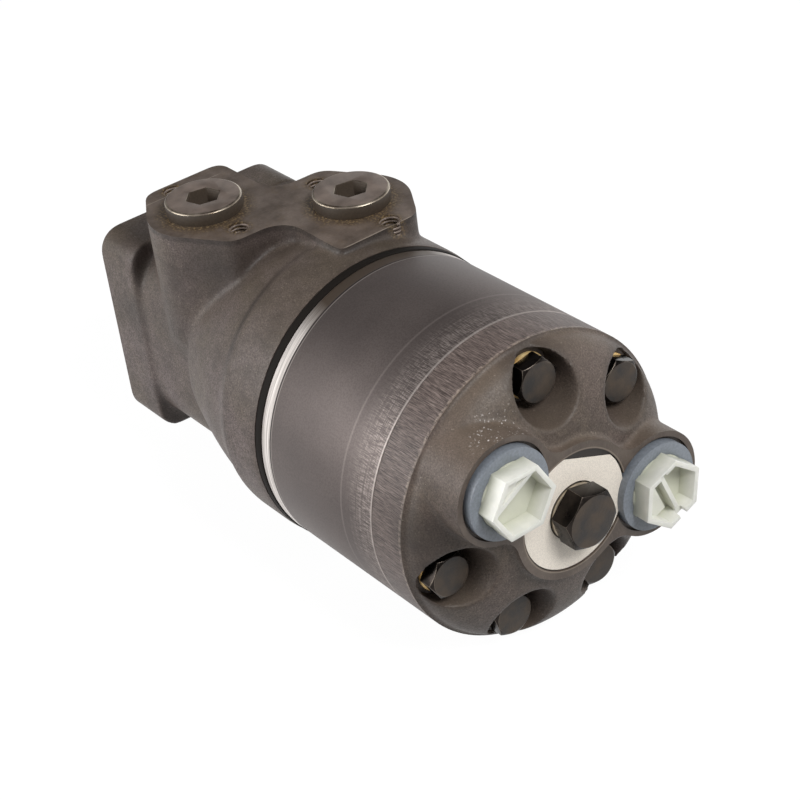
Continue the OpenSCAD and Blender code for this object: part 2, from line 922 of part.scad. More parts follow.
// Plugs
drain_washer_t = 1.2;
module drain_plug() {
    color([0.2, 0.17, 0.15])
        along_x(label_x + drain_washer_t) {
            rotate([0, 0, 22])
                bolt_head(drain_head_af, drain_head_h);
            translate([0, 0, -drain_washer_t - plug_shank_len])
                disc(drain_d / 2, plug_shank_len + drain_washer_t + 0.5);
        }
}

module drain_washer() {
    color("gray")
        along_x(label_x)
            ring(drain_washer_d / 2, drain_d / 2 + thread_gap, drain_washer_t);
}

plug_seal_t = 1;
plug_seal_r = port_bore_d / 2 + 1;
module side_plug(x, y) {
    chamfer = 0.5;
    r = plug_collar_d / 2;
    color("gray")
        translate([x, y, port_face_z])
            difference() {
                union() {
                    rotate_extrude()
                        polygon([
                            [0, 0], [r, 0], [r, plug_collar_h - chamfer], [r - chamfer, plug_collar_h],
                            [0, plug_collar_h]
                        ]);
                    translate([0, 0, -plug_shank_len])
                        disc(port_bore_d / 2 - thread_gap, plug_shank_len + 0.5);
                }
                translate([0, 0, -1])
                    ring(plug_seal_r, port_bore_d / 2 - 2, plug_seal_t + 1);
                translate([0, 0, plug_collar_h - plug_socket_depth])
                    rotate([0, 0, 17])
                        hexagon(plug_socket_af, plug_socket_depth + 1);
            }
}

module side_plug_a() {
    side_plug(port_a_x, -port_side);
}

module side_plug_b() {
    side_plug(port_b_x, port_side);
}

module side_plug_seals() {
    color("black")
        for (port = [[port_a_x, -port_side], [port_b_x, port_side]])
            translate([port[0], port[1], port_face_z + face_gap])
                ring(plug_seal_r - face_gap, port_bore_d / 2 - 2 + face_gap, plug_seal_t - 2 * face_gap);
}

module rear_plug(angle, turn) {
    floor_t = 1.2;
    web_t = 1.4;
    color([0.85, 0.9, 0.85])
        along_x(spot_x + disc_t)
            at_angle(rear_port_circle_r, angle)
                rotate([0, 0, turn]) {
                    difference() {
                        cylinder(h = cap_hex_h, r = cap_hex_r, $fn = 6);
                        translate([0, 0, floor_t])
                            cylinder(h = cap_hex_h, r = cap_hex_r - cap_wall * 2 / sqrt(3), $fn = 6);
                    }
                    translate([-cap_hex_r + cap_wall, -web_t / 2, 0])
                        cube([2 * (cap_hex_r - cap_wall), web_t, cap_hex_h * 0.7]);
                    translate([0, 0, -disc_t - plug_shank_len])
                        disc(port_bore_d / 2 - thread_gap, disc_t + plug_shank_len + 0.5);
                }
}

module rear_plug_left() {
    rear_plug(rear_port_angles[0], 0);
}

module rear_plug_right() {
    difference() {
        rear_plug(rear_port_angles[1], 22);
        along_x(spot_x + disc_t + cap_hex_h - 2.5)
            at_angle(rear_port_circle_r, rear_port_angles[1])
                rotate([0, 0, -75])
                    translate([cap_hex_r - 4, -1.5, 0])
                        cube([6, 3, 4]);
    }
}

module rear_seal_discs() {
    color([0.5, 0.58, 0.65])
        along_x(spot_x)
            for (angle = rear_port_angles)
                at_angle(rear_port_circle_r, angle)
                    ring(disc_r, port_bore_d / 2, disc_t);
}

housing();
dust_seal();
shaft_seal();
thrust_race();
thrust_needles();
output_shaft();
shaft_key();
check_ball_a();
check_ball_b();
check_stops();
seal_ring_front();
distributor_plate();
seal_ring_middle();
gear_ring();
roller_1();
roller_2();
roller_3();
roller_4();
roller_5();
roller_6();
roller_7();
rotor();
cardan_spacer();
cardan_shaft();
seal_ring_rear();
end_cover();
cover_bolts();
bolt_washers();
drain_plug();
drain_washer();
side_plug_a();
side_plug_b();
side_plug_seals();
rear_plug_left();
rear_plug_right();
rear_seal_discs();
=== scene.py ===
# %% [markdown]
# # An orbital hydraulic motor
# The CAD frame gives every metal piece its true size and place. This lesson dresses it:
# castings get their soft corners and their grain, steel gets its sheen and its scratches,
# and the small pieces that CAD leaves plain, such as screw threads, are modelled by hand.

# %% Load the frame
import json
import math
import bpy
from mathutils import Matrix, Vector

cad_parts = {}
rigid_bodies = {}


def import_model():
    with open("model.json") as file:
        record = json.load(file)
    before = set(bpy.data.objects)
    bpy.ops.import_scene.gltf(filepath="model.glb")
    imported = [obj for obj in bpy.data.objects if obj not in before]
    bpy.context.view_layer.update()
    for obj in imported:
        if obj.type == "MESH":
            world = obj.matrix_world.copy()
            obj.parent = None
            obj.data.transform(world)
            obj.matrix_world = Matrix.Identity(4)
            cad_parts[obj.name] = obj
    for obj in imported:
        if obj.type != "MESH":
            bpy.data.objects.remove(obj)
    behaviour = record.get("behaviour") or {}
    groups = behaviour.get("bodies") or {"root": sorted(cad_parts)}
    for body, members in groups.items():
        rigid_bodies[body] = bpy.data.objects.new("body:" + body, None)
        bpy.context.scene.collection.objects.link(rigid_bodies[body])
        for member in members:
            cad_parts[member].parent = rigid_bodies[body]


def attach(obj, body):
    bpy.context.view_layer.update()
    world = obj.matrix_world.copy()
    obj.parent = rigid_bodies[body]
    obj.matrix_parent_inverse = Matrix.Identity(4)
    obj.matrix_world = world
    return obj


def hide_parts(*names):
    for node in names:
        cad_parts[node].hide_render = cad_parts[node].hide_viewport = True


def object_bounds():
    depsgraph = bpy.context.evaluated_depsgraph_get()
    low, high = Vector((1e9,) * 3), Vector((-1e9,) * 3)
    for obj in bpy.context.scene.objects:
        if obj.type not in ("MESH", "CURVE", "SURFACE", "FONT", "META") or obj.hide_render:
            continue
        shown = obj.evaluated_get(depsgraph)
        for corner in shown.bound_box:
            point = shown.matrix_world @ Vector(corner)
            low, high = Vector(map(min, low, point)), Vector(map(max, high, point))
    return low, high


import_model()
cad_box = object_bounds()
print("CAD box in mm:", [[round(v * 1000, 1) for v in corner] for corner in cad_box])

# %% [markdown]
# ## The camera
# The photograph was taken from above and behind the end cover, with a longish lens.
# The camera stands at the place that was found by matching measured points of the motor
# with the picture, and it is rolled a little, because the motor hangs askew in the frame.

# %% Camera
MM = 0.001


def mm(*values):
    return Vector([v * MM for v in values])


camera_place = mm(565.58, -305.89, 354.49)
camera_target = mm(140.76, -19.03, 23.58)
camera_roll = math.radians(-7.596)
ahead = (camera_target - camera_place).normalized()
level = ahead.cross(Vector((0, 0, 1))).normalized()
upright = level.cross(ahead)
right = math.cos(camera_roll) * level + math.sin(camera_roll) * upright
up = right.cross(ahead)
camera_data = bpy.data.cameras.new("photo_camera")
camera_data.lens = 93.534
camera_data.sensor_width = 36
camera = bpy.data.objects.new("photo_camera", camera_data)
camera.matrix_world = Matrix.Translation(camera_place) @ Matrix((right, up, -ahead)).transposed().to_4x4()
bpy.context.collection.objects.link(camera)
bpy.context.scene.camera = camera
bpy.context.scene.view_settings.view_transform = "Standard"
print("Camera is", round((camera_target - camera_place).length, 3), "m from the motor")

# %% [markdown]
# ## Tools for working as by hand
# An operator works on everything that is selected, so each step first lets go of all pieces
# and then takes hold of the one that it shapes.

# %% Picking things up
def pick(*things):
    for thing in list(bpy.context.selected_objects):
        thing.select_set(False)
    for thing in things:
        thing.select_set(True)
    bpy.context.view_layer.objects.active = things[-1] if things else None


def settle(piece):
    pick(piece)
    bpy.ops.object.transform_apply(location=True, rotation=True, scale=True)


def finish_modifier(piece, kind, **settings):
    pick(piece)
    bpy.ops.object.modifier_add(type=kind)
    modifier = piece.modifiers[-1]
    for name, value in settings.items():
        setattr(modifier, name, value)
    bpy.ops.object.modifier_apply(modifier=modifier.name)


def smooth_by_angle(piece, degrees):
    pick(piece)
    bpy.ops.object.shade_smooth_by_angle(angle=math.radians(degrees))


print("Ready to pick up, settle and modify pieces")

# %% [markdown]
# ## Making raw stock
# Machined work starts from bars and turned blanks. A bar is a cylinder that lies along an
# axis, and a blank is a disc that is drawn out and resized step by step, as on a lathe.

# %% Raw stock
AXES = {"x": (0, math.pi / 2, 0), "z": (0, 0, 0)}


def rod(name, x, y, z, radius, length, axis="x", sides=64):
    """A round bar that starts at a place in mm and runs along an axis."""
    run = {"x": Vector((1, 0, 0)), "z": Vector((0, 0, 1))}[axis]
    middle = Vector((x, y, z)) + run * length / 2
    bpy.ops.mesh.primitive_cylinder_add(vertices=sides, radius=radius * MM, depth=length * MM,
                                        location=middle * MM, rotation=AXES[axis])
    piece = bpy.context.object
    piece.name = name
    settle(piece)
    return piece


def turn_on_lathe(name, profile, sides=128):
    """A solid turned about the shaft's axis: a disc, extruded and resized along (x, radius) steps in mm."""
    (x, radius), *rest = profile
    bpy.ops.mesh.primitive_circle_add(vertices=sides, radius=radius * MM, fill_type="NGON",
                                      location=(x * MM, 0, 0), rotation=AXES["x"])
    piece = bpy.context.object
    piece.name = name
    settle(piece)
    bpy.ops.object.mode_set(mode="EDIT")
    bpy.ops.mesh.select_all(action="SELECT")
    for x_next, radius_next in rest:
        bpy.ops.mesh.extrude_region_move(TRANSFORM_OT_translate={"value": ((x_next - x) * MM, 0, 0)})
        swell = radius_next / radius
        bpy.ops.transform.resize(value=(1, swell, swell), center_override=(x_next * MM, 0, 0))
        x, radius = x_next, radius_next
    bpy.ops.mesh.select_all(action="SELECT")
    bpy.ops.mesh.normals_make_consistent(inside=False)
    bpy.ops.object.mode_set(mode="OBJECT")
    return piece


def rods(name, x, places, radius, length):
    return [rod(name, x, y, z, radius, length) for y, z in places]


print("Bars and blanks can be made along", sorted(AXES))

# %% [markdown]
# ## Joining and cutting
# Joining keeps several tools as one object, a Boolean adds a solid to another or takes it
# away, and a bisect saws a piece off flat.

# %% Joining and cutting
def put_together(name, *pieces):
    pick(*pieces)
    bpy.ops.object.join()
    whole = bpy.context.object
    whole.name = name
    return whole


def cut_with(piece, tool, operation="DIFFERENCE"):
    finish_modifier(piece, "BOOLEAN", object=tool, operation=operation, solver="EXACT")
    bpy.data.objects.remove(tool)


def slice_off(piece, place, outward):
    """Saw the piece off flat at a plane and close the cut."""
    pick(piece)
    bpy.ops.object.mode_set(mode="EDIT")
    bpy.ops.mesh.select_all(action="SELECT")
    bpy.ops.mesh.bisect(plane_co=place, plane_no=outward, use_fill=True, clear_outer=True)
    bpy.ops.object.mode_set(mode="OBJECT")


def around(radius, degrees):
    """A place on a circle about the shaft's axis, counted from the side ports' side."""
    return radius * math.sin(math.radians(degrees)), radius * math.cos(math.radians(degrees))


print("Ready to join, cut and saw")

# %% [markdown]
# ## Measures that several pieces share
# These are the values of the CAD source, in mm.

# %% Measures
bolt_step = 360 / 7
bolt_slots = [0, 1, 3, 4, 5]
bolt_circle = 38.8
flange_hole_circle = 41.25
housing_end_x = 104
cover_front_x = 162
plateau_x = 194
bore_r = 18.04
bore_groove_r = 21.5
port_r = 10.45
port_screw_r = 3.4
rim_r = 49
side_ports = [(42.0, -17.1), (75.4, 17.1)]
port_bolt_offset = 19.1
port_face_z = 52.0
rear_port_angles = [-51.1, 102.5]
rear_port_circle = 31.3
label_recess_r = 19.3


def bolt_place(slot):
    return around(bolt_circle, slot * bolt_step)


thread_places = [bolt_place(slot) for slot in range(7)]
bolt_places = [bolt_place(slot) for slot in bolt_slots]
rear_ports = [around(rear_port_circle, angle) for angle in rear_port_angles]
flange_holes = [around(flange_hole_circle, angle) for angle in (45, 135, 225, 315)]

# %% [markdown]
# ## Materials: small tools
# A material is a tree of nodes. Each node is placed with its inputs, which are either
# plain values or the output sockets of other nodes.

# %% Placing nodes
def plug_in(tree, socket, value):
    """Link an input to another node's output, or give it a plain value."""
    if isinstance(value, bpy.types.NodeSocket):
        tree.links.new(value, socket)
    else:
        socket.default_value = value


def place(tree, kind, inputs=None, **settings):
    node = tree.nodes.new(kind)
    for name, value in settings.items():
        setattr(node, name, value)
    for name, value in (inputs or {}).items():
        plug_in(tree, node.inputs[name], value)
    return node


def maths(tree, operation, a, b=0.0, clamp=False):
    return place(tree, "ShaderNodeMath", {0: a, 1: b}, operation=operation, use_clamp=clamp).outputs[0]


def blend_colours(tree, factor, a, b):
    return place(tree, "ShaderNodeMix", {0: factor, 6: a, 7: b}, data_type="RGBA").outputs[2]


def remap(tree, value, low, high, to_low=0.0, to_high=1.0):
    return place(tree, "ShaderNodeMapRange", {"Value": value, "From Min": low, "From Max": high,
                                              "To Min": to_low, "To Max": to_high}).outputs["Result"]


def times(tree, *values):
    product = values[0]
    for value in values[1:]:
        product = maths(tree, "MULTIPLY", product, value)
    return product


print("Nodes can be placed and multiplied")

# %% [markdown]
# ### Measuring where a point is and which way it faces
# Marks and dirt follow places, so a material needs the parts of a position, the distance
# from an axis, and the direction of the surface, all worked out by nodes.

# %% Measuring nodes
def radius_of(tree, a, b):
    squares = maths(tree, "ADD", maths(tree, "POWER", a, 2.0), maths(tree, "POWER", b, 2.0))
    return maths(tree, "SQRT", squares)


def vectors(tree, operation, *values):
    return place(tree, "ShaderNodeVectorMath", dict(enumerate(values)), operation=operation).outputs


def parts_of(tree, vector):
    return place(tree, "ShaderNodeSeparateXYZ", {0: vector}).outputs


def facing(tree):
    """The parts of the surface's own direction, which tell tops from sides."""
    return parts_of(tree, place(tree, "ShaderNodeTexCoord").outputs["Normal"])


print("Positions and directions can be measured")

# %% [markdown]
# ### Colours in layers
# A finish is built as a painter does it: a base colour, then coats that hold only where a
# mask says so. Colours are given from 0 to 255, and noise breaks them up.

# %% Colours
def coats(tree, colour, *layers):
    """Lay coats over a colour; each is a mask, a share of full strength and a colour from 0 to 255."""
    for mask, share, coat in layers:
        colour = blend_colours(tree, times(tree, mask, share), colour, rgb(*coat))
    return colour


def noise(tree, where, size_mm, detail=3.0, roughness=0.55):
    node = place(tree, "ShaderNodeTexNoise", {"Vector": where, "Scale": 1000 / size_mm, "Detail": detail,
                                              "Roughness": roughness})
    return node.outputs["Fac"]


def rgb(r, g, b):
    """A colour picked as 0 to 255 values, made linear, as the shader wants it."""
    def linear(v):
        v /= 255
        return v / 12.92 if v <= 0.04045 else ((v + 0.055) / 1.055) ** 2.4
    return linear(r), linear(g), linear(b), 1.0


print("Middle grey is", round(rgb(128, 128, 128)[0], 3), "in linear light")

# %% [markdown]
# ### A material and its surface
# Every material starts as an empty tree with one Principled surface. It is fed by plain words,
# and it reads the object's own coordinates, so that its grain stays in place on every piece.

# %% Material and surface
def new_material(name):
    material = bpy.data.materials.new(name)
    material.use_nodes = True
    tree = material.node_tree
    tree.nodes.clear()
    surface = place(tree, "ShaderNodeBsdfPrincipled")
    output = place(tree, "ShaderNodeOutputMaterial")
    tree.links.new(surface.outputs[0], output.inputs[0])
    where = place(tree, "ShaderNodeTexCoord").outputs["Object"]
    return material, tree, surface, where


def feed(tree, surface, **values):
    names = {"colour": "Base Color", "roughness": "Roughness", "metallic": "Metallic", "normal": "Normal",
             "specular": "Specular IOR Level", "subsurface": "Subsurface Weight"}
    for key, value in values.items():
        plug_in(tree, surface.inputs[names[key]], value)


def bump(tree, height, strength, distance_mm):
    return place(tree, "ShaderNodeBump", {"Height": height, "Strength": strength,
                                          "Distance": distance_mm * MM}).outputs["Normal"]


print("Ready to start materials and to feed their surfaces")

# %% [markdown]
# ### Groups of nodes
# An effect that several materials share is a node group. It takes places and sizes, and it
# gives back only masks and values, so each material still has one surface of its own.

# %% Node groups
def new_group(name, inputs, outputs):
    group = bpy.data.node_groups.new(name, "ShaderNodeTree")
    for label, (kind, default) in inputs.items():
        socket = group.interface.new_socket(label, in_out="INPUT", socket_type=kind)
        if default is not None:
            socket.default_value = default
    for label in outputs:
        group.interface.new_socket(label, in_out="OUTPUT", socket_type="NodeSocketFloat")
    entry = group.nodes.new("NodeGroupInput")
    leave = group.nodes.new("NodeGroupOutput")
    return group, entry.outputs, leave.inputs


def use_group(tree, group, **inputs):
    named = {name.replace("_", " "): value for name, value in inputs.items()}
    return place(tree, "ShaderNodeGroup", named, node_tree=group).outputs


print("Material tools ready")

# %% [markdown]
# ### Cast grain
# A sand casting keeps the print of the sand: grains of a few tenths of a millimetre, with
# wider unevenness under them. The group gives a height for the bump, and a tone that
# lightens the tops and darkens the pits.

# %% Cast grain group
VECTOR, NUMBER = "NodeSocketVector", "NodeSocketFloat"
cast_grain, given, result = new_group("Cast grain", {"Where": (VECTOR, None), "Grain mm": (NUMBER, 0.6)},
                                      ["Height", "Tone", "Patch"])
density = maths(cast_grain, "DIVIDE", 1000.0, given["Grain mm"])
sand = place(cast_grain, "ShaderNodeTexNoise", {"Vector": given["Where"], "Scale": density, "Detail": 4.0,
                                                "Roughness": 0.62}).outputs["Fac"]
pit_density = times(cast_grain, density, 0.8)
pits = place(cast_grain, "ShaderNodeTexVoronoi", {"Vector": given["Where"], "Scale": pit_density},
             feature="SMOOTH_F1").outputs["Distance"]
waves = noise(cast_grain, given["Where"], 6.0, 2.0)
patches = noise(cast_grain, given["Where"], 22.0, 4.0, 0.6)
grain = maths(cast_grain, "ADD", times(cast_grain, sand, 0.7), times(cast_grain, pits, 0.45))
cast_grain.links.new(maths(cast_grain, "ADD", grain, times(cast_grain, waves, 0.8)), result["Height"])
cast_grain.links.new(remap(cast_grain, sand, 0.33, 0.69), result["Tone"])
cast_grain.links.new(remap(cast_grain, patches, 0.35, 0.68), result["Patch"])
print("Group:", cast_grain.name)

# %% [markdown]
# ### Grime round a plug
# Rust and old oil gather round a plug's collar and in the screw holes. The group measures
# how far a point is from an upright axis, and breaks the ring up with noise.

# %% Grime group
grime_ring, given, result = new_group("Grime ring", {"Where": (VECTOR, None), "Centre": (VECTOR, (0, 0, 0)),
                                                     "Inner mm": (NUMBER, 12.0), "Outer mm": (NUMBER, 18.0)},
                                      ["Mask", "Flecks"])
split = parts_of(grime_ring, vectors(grime_ring, "SUBTRACT", given["Where"], given["Centre"])[0])
reach = times(grime_ring, radius_of(grime_ring, split["X"], split["Y"]), 1000.0)
fade = remap(grime_ring, reach, given["Outer mm"], given["Inner mm"])
broken = noise(grime_ring, given["Where"], 2.2, 5.0, 0.65)
mask = remap(grime_ring, times(grime_ring, fade, maths(grime_ring, "ADD", broken, 0.35)), 0.25, 0.75)
below = maths(grime_ring, "LESS_THAN", maths(grime_ring, "ABSOLUTE", split["Z"]), 0.006)
grime_ring.links.new(times(grime_ring, mask, below), result["Mask"])
crumbs = remap(grime_ring, noise(grime_ring, given["Where"], 0.8, 3.0), 0.5, 0.6)
grime_ring.links.new(times(grime_ring, crumbs, mask, 0.5), result["Flecks"])
print("Group:", grime_ring.name)

# %% [markdown]
# ### Scratches that run one way
# Grinding, turning and handling leave fine lines. Noise that is squeezed across the lines
# and stretched along them looks like such lines. The stretch is a vector, so one group
# serves marks along the shaft and marks round it.

# %% Scratch group
scratches, given, result = new_group("Scratches", {"Where": (VECTOR, None), "Stretch": (VECTOR, (1, 1, 1)),
                                                   "Size mm": (NUMBER, 1.0)}, ["Lines", "Deep", "Gaps"])
squeezed = vectors(scratches, "MULTIPLY", given["Where"], given["Stretch"])[0]
line_scale = maths(scratches, "DIVIDE", 1000.0, given["Size mm"])
lines = place(scratches, "ShaderNodeTexNoise", {"Vector": squeezed, "Scale": line_scale, "Detail": 3.0,
                                                "Roughness": 0.6}).outputs["Fac"]
scratches.links.new(lines, result["Lines"])
scratches.links.new(remap(scratches, lines, 0.58, 0.68), result["Deep"])
scratches.links.new(remap(scratches, lines, 0.42, 0.32), result["Gaps"])
print("Group:", scratches.name)

# %% [markdown]
# ### A line or a band along an axis
# Many marks on turned and milled faces sit at one place along an axis: a scribed line, a bright
# land, a dark groove. The group gives a mask that is one inside a band and fades at its edges.

# %% Band group
band_mask, given, result = new_group("Band", {"Value": (NUMBER, 0.0), "From mm": (NUMBER, 0.0),
                                              "To mm": (NUMBER, 1.0), "Soft mm": (NUMBER, 0.2)}, ["Mask"])
value_mm = times(band_mask, given["Value"], 1000.0)
past_start = maths(band_mask, "SUBTRACT", value_mm, given["From mm"])
before_end = maths(band_mask, "SUBTRACT", given["To mm"], value_mm)
rise = maths(band_mask, "DIVIDE", past_start, given["Soft mm"], clamp=True)
fall = maths(band_mask, "DIVIDE", before_end, given["Soft mm"], clamp=True)
band_mask.links.new(times(band_mask, rise, fall), result["Mask"])
print("Group:", band_mask.name)


def in_band(tree, value, start_mm, end_mm, soft_mm=0.2):
    return use_group(tree, band_mask, Value=value, From_mm=start_mm, To_mm=end_mm, Soft_mm=soft_mm)["Mask"]


# %% [markdown]
# ### Shade in pockets
# Shade is painted into hollows, such as those round the bolt heads. The group gives a mask that
# is full near a place and fades outwards. Flatten leaves an axis out, so the place becomes a pipe.

# %% Pocket group
pocket, given, result = new_group("Pocket", {"Where": (VECTOR, None), "Centre": (VECTOR, (0, 0, 0)),
                                             "Flatten": (VECTOR, (1, 1, 1)), "Full mm": (NUMBER, 4.0),
                                             "Reach mm": (NUMBER, 14.0)}, ["Mask"])
apart = vectors(pocket, "SUBTRACT", given["Where"], given["Centre"])[0]
apart = vectors(pocket, "MULTIPLY", apart, given["Flatten"])[0]
apart = times(pocket, vectors(pocket, "LENGTH", apart)["Value"], 1000.0)
pocket.links.new(remap(pocket, apart, given["Reach mm"], given["Full mm"]), result["Mask"])
print("Group:", pocket.name)


def near(tree, where, centre, full_mm, reach_mm, flatten=(1, 1, 1)):
    return use_group(tree, pocket, Where=where, Centre=mm(*centre), Full_mm=full_mm, Reach_mm=reach_mm,
                     Flatten=flatten)["Mask"]


# %% [markdown]
# ### Makers of simple finishes
# Most small pieces need few layers: a base tone with clouds, fine lines and a bump. One maker
# serves the metals, the other rubber, paper and plastic.

# %% Finish makers
def metal(name, light, dark, roughness, stretch=(1, 1, 1), size=0.8, metallic=0.9, depth=0.1):
    material, tree, surface, where = new_material(name)
    marks = use_group(tree, scratches, Where=where, Stretch=stretch, Size_mm=size)
    clouds = noise(tree, where, 7.0, 4.0)
    colour = blend_colours(tree, remap(tree, clouds, 0.35, 0.68), rgb(*dark), rgb(*light))
    colour = coats(tree, colour, (marks["Deep"], 0.25, light))
    feed(tree, surface, colour=colour, metallic=metallic, normal=bump(tree, marks["Lines"], 0.2, depth),
         roughness=remap(tree, clouds, 0.3, 0.7, roughness - 0.07, roughness + 0.07))
    return material


def plain(name, colour, roughness, grain_mm=0.5, strength=0.15, **more):
    material, tree, surface, where = new_material(name)
    speck = noise(tree, where, grain_mm, 3.0)
    shade = coats(tree, rgb(*colour), (remap(tree, speck, 0.35, 0.65), 0.2, (0, 0, 0)))
    feed(tree, surface, colour=shade, roughness=roughness, normal=bump(tree, speck, strength, 0.08), **more)
    return material


print("Finish makers ready")

# %% [markdown]
# ### Dark phosphated casting
# The housing and the cover are grey iron under a dark brown-grey phosphate coat. The coat is
# dull, so it is mostly a diffuse colour with a weak sheen. Tops of the grain are rubbed a
# little lighter and wide patches lean towards brown or purple. Faces that look up take one more
# colour, which is partly dust and partly painted top light: lighter on the cover, a little darker on the
# housing.

# %% Cast iron
sand_grain_mm = 0.5
sand_depth_mm = 0.3


def cast_material(name, light, dark, dust_and_top_light):
    material, tree, surface, where = new_material(name)
    skin = use_group(tree, cast_grain, Where=where, Grain_mm=sand_grain_mm)
    colour = blend_colours(tree, skin["Tone"], rgb(*dark), rgb(*light))
    brown = blend_colours(tree, skin["Tone"], rgb(62, 54, 45), rgb(98, 86, 75))
    colour = blend_colours(tree, skin["Patch"], colour, brown)
    stain = remap(tree, noise(tree, where, 13.0, 5.0, 0.7), 0.48, 0.7)
    mottle = remap(tree, noise(tree, where, 3.5, 4.0, 0.6), 0.48, 0.66)
    fleck = remap(tree, noise(tree, where, 0.9, 2.0, 0.8), 0.64, 0.73)
    # Faces that look up take a colour that is partly dust and partly painted top light.
    top = remap(tree, facing(tree)["Z"], 0.2, 0.95)
    colour = coats(tree, colour, (stain, 0.65, (56, 47, 42)), (mottle, 0.4, (54, 46, 42)),
                   (fleck, 0.55, (150, 138, 126)), (top, 0.4, dust_and_top_light))
    feed(tree, surface, metallic=0.0, specular=0.35, roughness=remap(tree, skin["Tone"], 0, 1, 0.6, 0.42),
         normal=bump(tree, skin["Height"], 0.3, sand_depth_mm))
    return material, tree, surface, where, colour


print("Sand grains are", sand_grain_mm, "mm wide")

# %% [markdown]
# ### The housing's own marks
# Rust-brown grime sits round the side plugs and in the screw holes, and a thin flash line crosses
# the bell. A soft crease across the bell, its hollows and the faces that look to the rear are
# darkened with painted shade, and a dark line under the port face's edge is partly oil and partly
# painted shade. Each mark is a mask at its real place.

# %% Housing iron
def add_grime(tree, where, colour, spots):
    """Golden-brown grime in broken rings about upright axes; a spot is (centre, inner, outer reach) in mm."""
    for centre, inner, outer in spots:
        ring = use_group(tree, grime_ring, Where=where, Centre=mm(*centre), Inner_mm=inner, Outer_mm=outer)
        colour = coats(tree, colour, (ring["Mask"], 0.75, (64, 50, 34)), (ring["Flecks"], 1, (158, 134, 98)))
    return colour


port_spots = []
for x, y in side_ports:
    port_spots.append(((x, y, port_face_z), 13.0, 19.0))
    for side in (-1, 1):
        port_spots.append(((x + side * port_bolt_offset, y, port_face_z), 2.6, 6.5))
housing_iron, tree, surface, where, colour = cast_material("Housing iron", (118, 105, 102), (64, 54, 52),
                                                           dust_and_top_light=(80, 71, 61))
parts = parts_of(tree, where)
seen_side = maths(tree, "LESS_THAN", parts["Y"], 0.0)
flash_line = times(tree, seen_side, in_band(tree, parts["X"], 87.6, 88.1, 0.2),
                   in_band(tree, parts["Z"], -28.0, 10.0, 3.0))
# A dark band painted as the shade of the soft crease across the bell.
painted_crease_shade = times(tree, seen_side, in_band(tree, parts["X"], 81.4, 85.8, 1.8),
               in_band(tree, parts["Z"], 20.0, 49.0, 8.0))
# Faces that look to the rear, towards the cover, are painted darker as shade.
painted_rear_shade = remap(tree, facing(tree)["X"], 0.1, 0.8)
colour = coats(tree, colour, (flash_line, 0.6, (40, 34, 31)), (painted_crease_shade, 0.55, (36, 30, 27)),
               (painted_rear_shade, 0.5, (48, 40, 36)))
# Painted shade in hollows: under the web, at the boss's foot and where the flange meets the neck.
painted_shade_places = [((59, -24, 42), 14, 0.65), ((40, -33, 15), 14, 0.45), ((16, -34, 12), 9, 0.5),
                ((17, -30, -20), 10, 0.5)]
for middle, reach_mm, share in painted_shade_places:
    colour = coats(tree, colour, (near(tree, where, middle, 3, reach_mm), share, (38, 32, 28)))
# A dark line under the port face's edge, partly oil and partly painted shade.
oil_and_shade_edge = times(tree, in_band(tree, parts["Z"], 49.8, 53.0, 0.9), noise(tree, where, 3.0, 4.0))
colour = coats(tree, colour, (oil_and_shade_edge, 1, (30, 24, 20)))
feed(tree, surface, colour=add_grime(tree, where, colour, port_spots))
print("Castings have", len(port_spots), "grimy spots")

# %% [markdown]
# The cover is the same iron. A few pale specks of grit stick above its left rear port, and its
# turned rim is a zone of its own: pale and dark scratches run along the shaft, and the rim's
# rear edge is rubbed pale where the tool stopped. Shade is painted round the bolts, beside the
# boss and on faces that look down.

# %% Cover iron
cover_iron, tree, surface, where, colour = cast_material("Cover iron", (106, 92, 86), (60, 50, 46),
                                                         dust_and_top_light=(122, 108, 95))
along = parts_of(tree, where)["X"]
pulled = use_group(tree, scratches, Where=where, Stretch=(0.09, 1, 1), Size_mm=0.42)
fine = use_group(tree, scratches, Where=where, Stretch=(0.06, 1, 1), Size_mm=0.22)
rim_colour = blend_colours(tree, remap(tree, fine["Lines"], 0.36, 0.64), rgb(60, 51, 48), rgb(116, 103, 98))
rim_colour = coats(tree, rim_colour, (pulled["Deep"], 0.4, (160, 145, 138)),
                   (pulled["Gaps"], 0.6, (44, 37, 34)))
colour = blend_colours(tree, in_band(tree, along, 161.0, 175.3, 0.15), colour, rim_colour)
rubbed_edge = times(tree, in_band(tree, along, 174.2, 175.6, 0.5),
                    remap(tree, noise(tree, where, 1.1, 4.0), 0.42, 0.6))
grit = times(tree, near(tree, where, (192.0, -20.5, 35.0), 4, 12),
             remap(tree, noise(tree, where, 0.9, 2.0), 0.64, 0.68))
# Painted shade in the low hollow beside the left boss.
painted_boss_shade = near(tree, where, (179, -43, 8), 4, 13)
colour = coats(tree, colour, (rubbed_edge, 0.45, (180, 164, 150)), (grit, 0.9, (214, 208, 204)),
               (painted_boss_shade, 0.6, (36, 29, 26)))
behind_rim = maths(tree, "GREATER_THAN", along, 0.1755)
# Shade is painted into the pockets round the bolt heads.
for slot in bolt_slots:
    bolt_pocket_shade = near(tree, where, (0, *bolt_place(slot)), 8.6, 13.5, flatten=(0, 1, 1))
    colour = coats(tree, colour, (times(tree, bolt_pocket_shade, behind_rim), 0.6, (38, 31, 27)))
# Faces that look down are painted darker, as shade.
painted_underside_shade = remap(tree, facing(tree)["Z"], 0.0, -0.7)
feed(tree, surface, colour=coats(tree, colour, (painted_underside_shade, 0.45, (44, 37, 33))))
print("Material:", cover_iron.name)

# %% [markdown]
# ### Milled faces
# The port face and the plateau were milled before the coat went on. They are flatter and a
# little darker than the cast skin, with a fine grain and faint cutter marks.

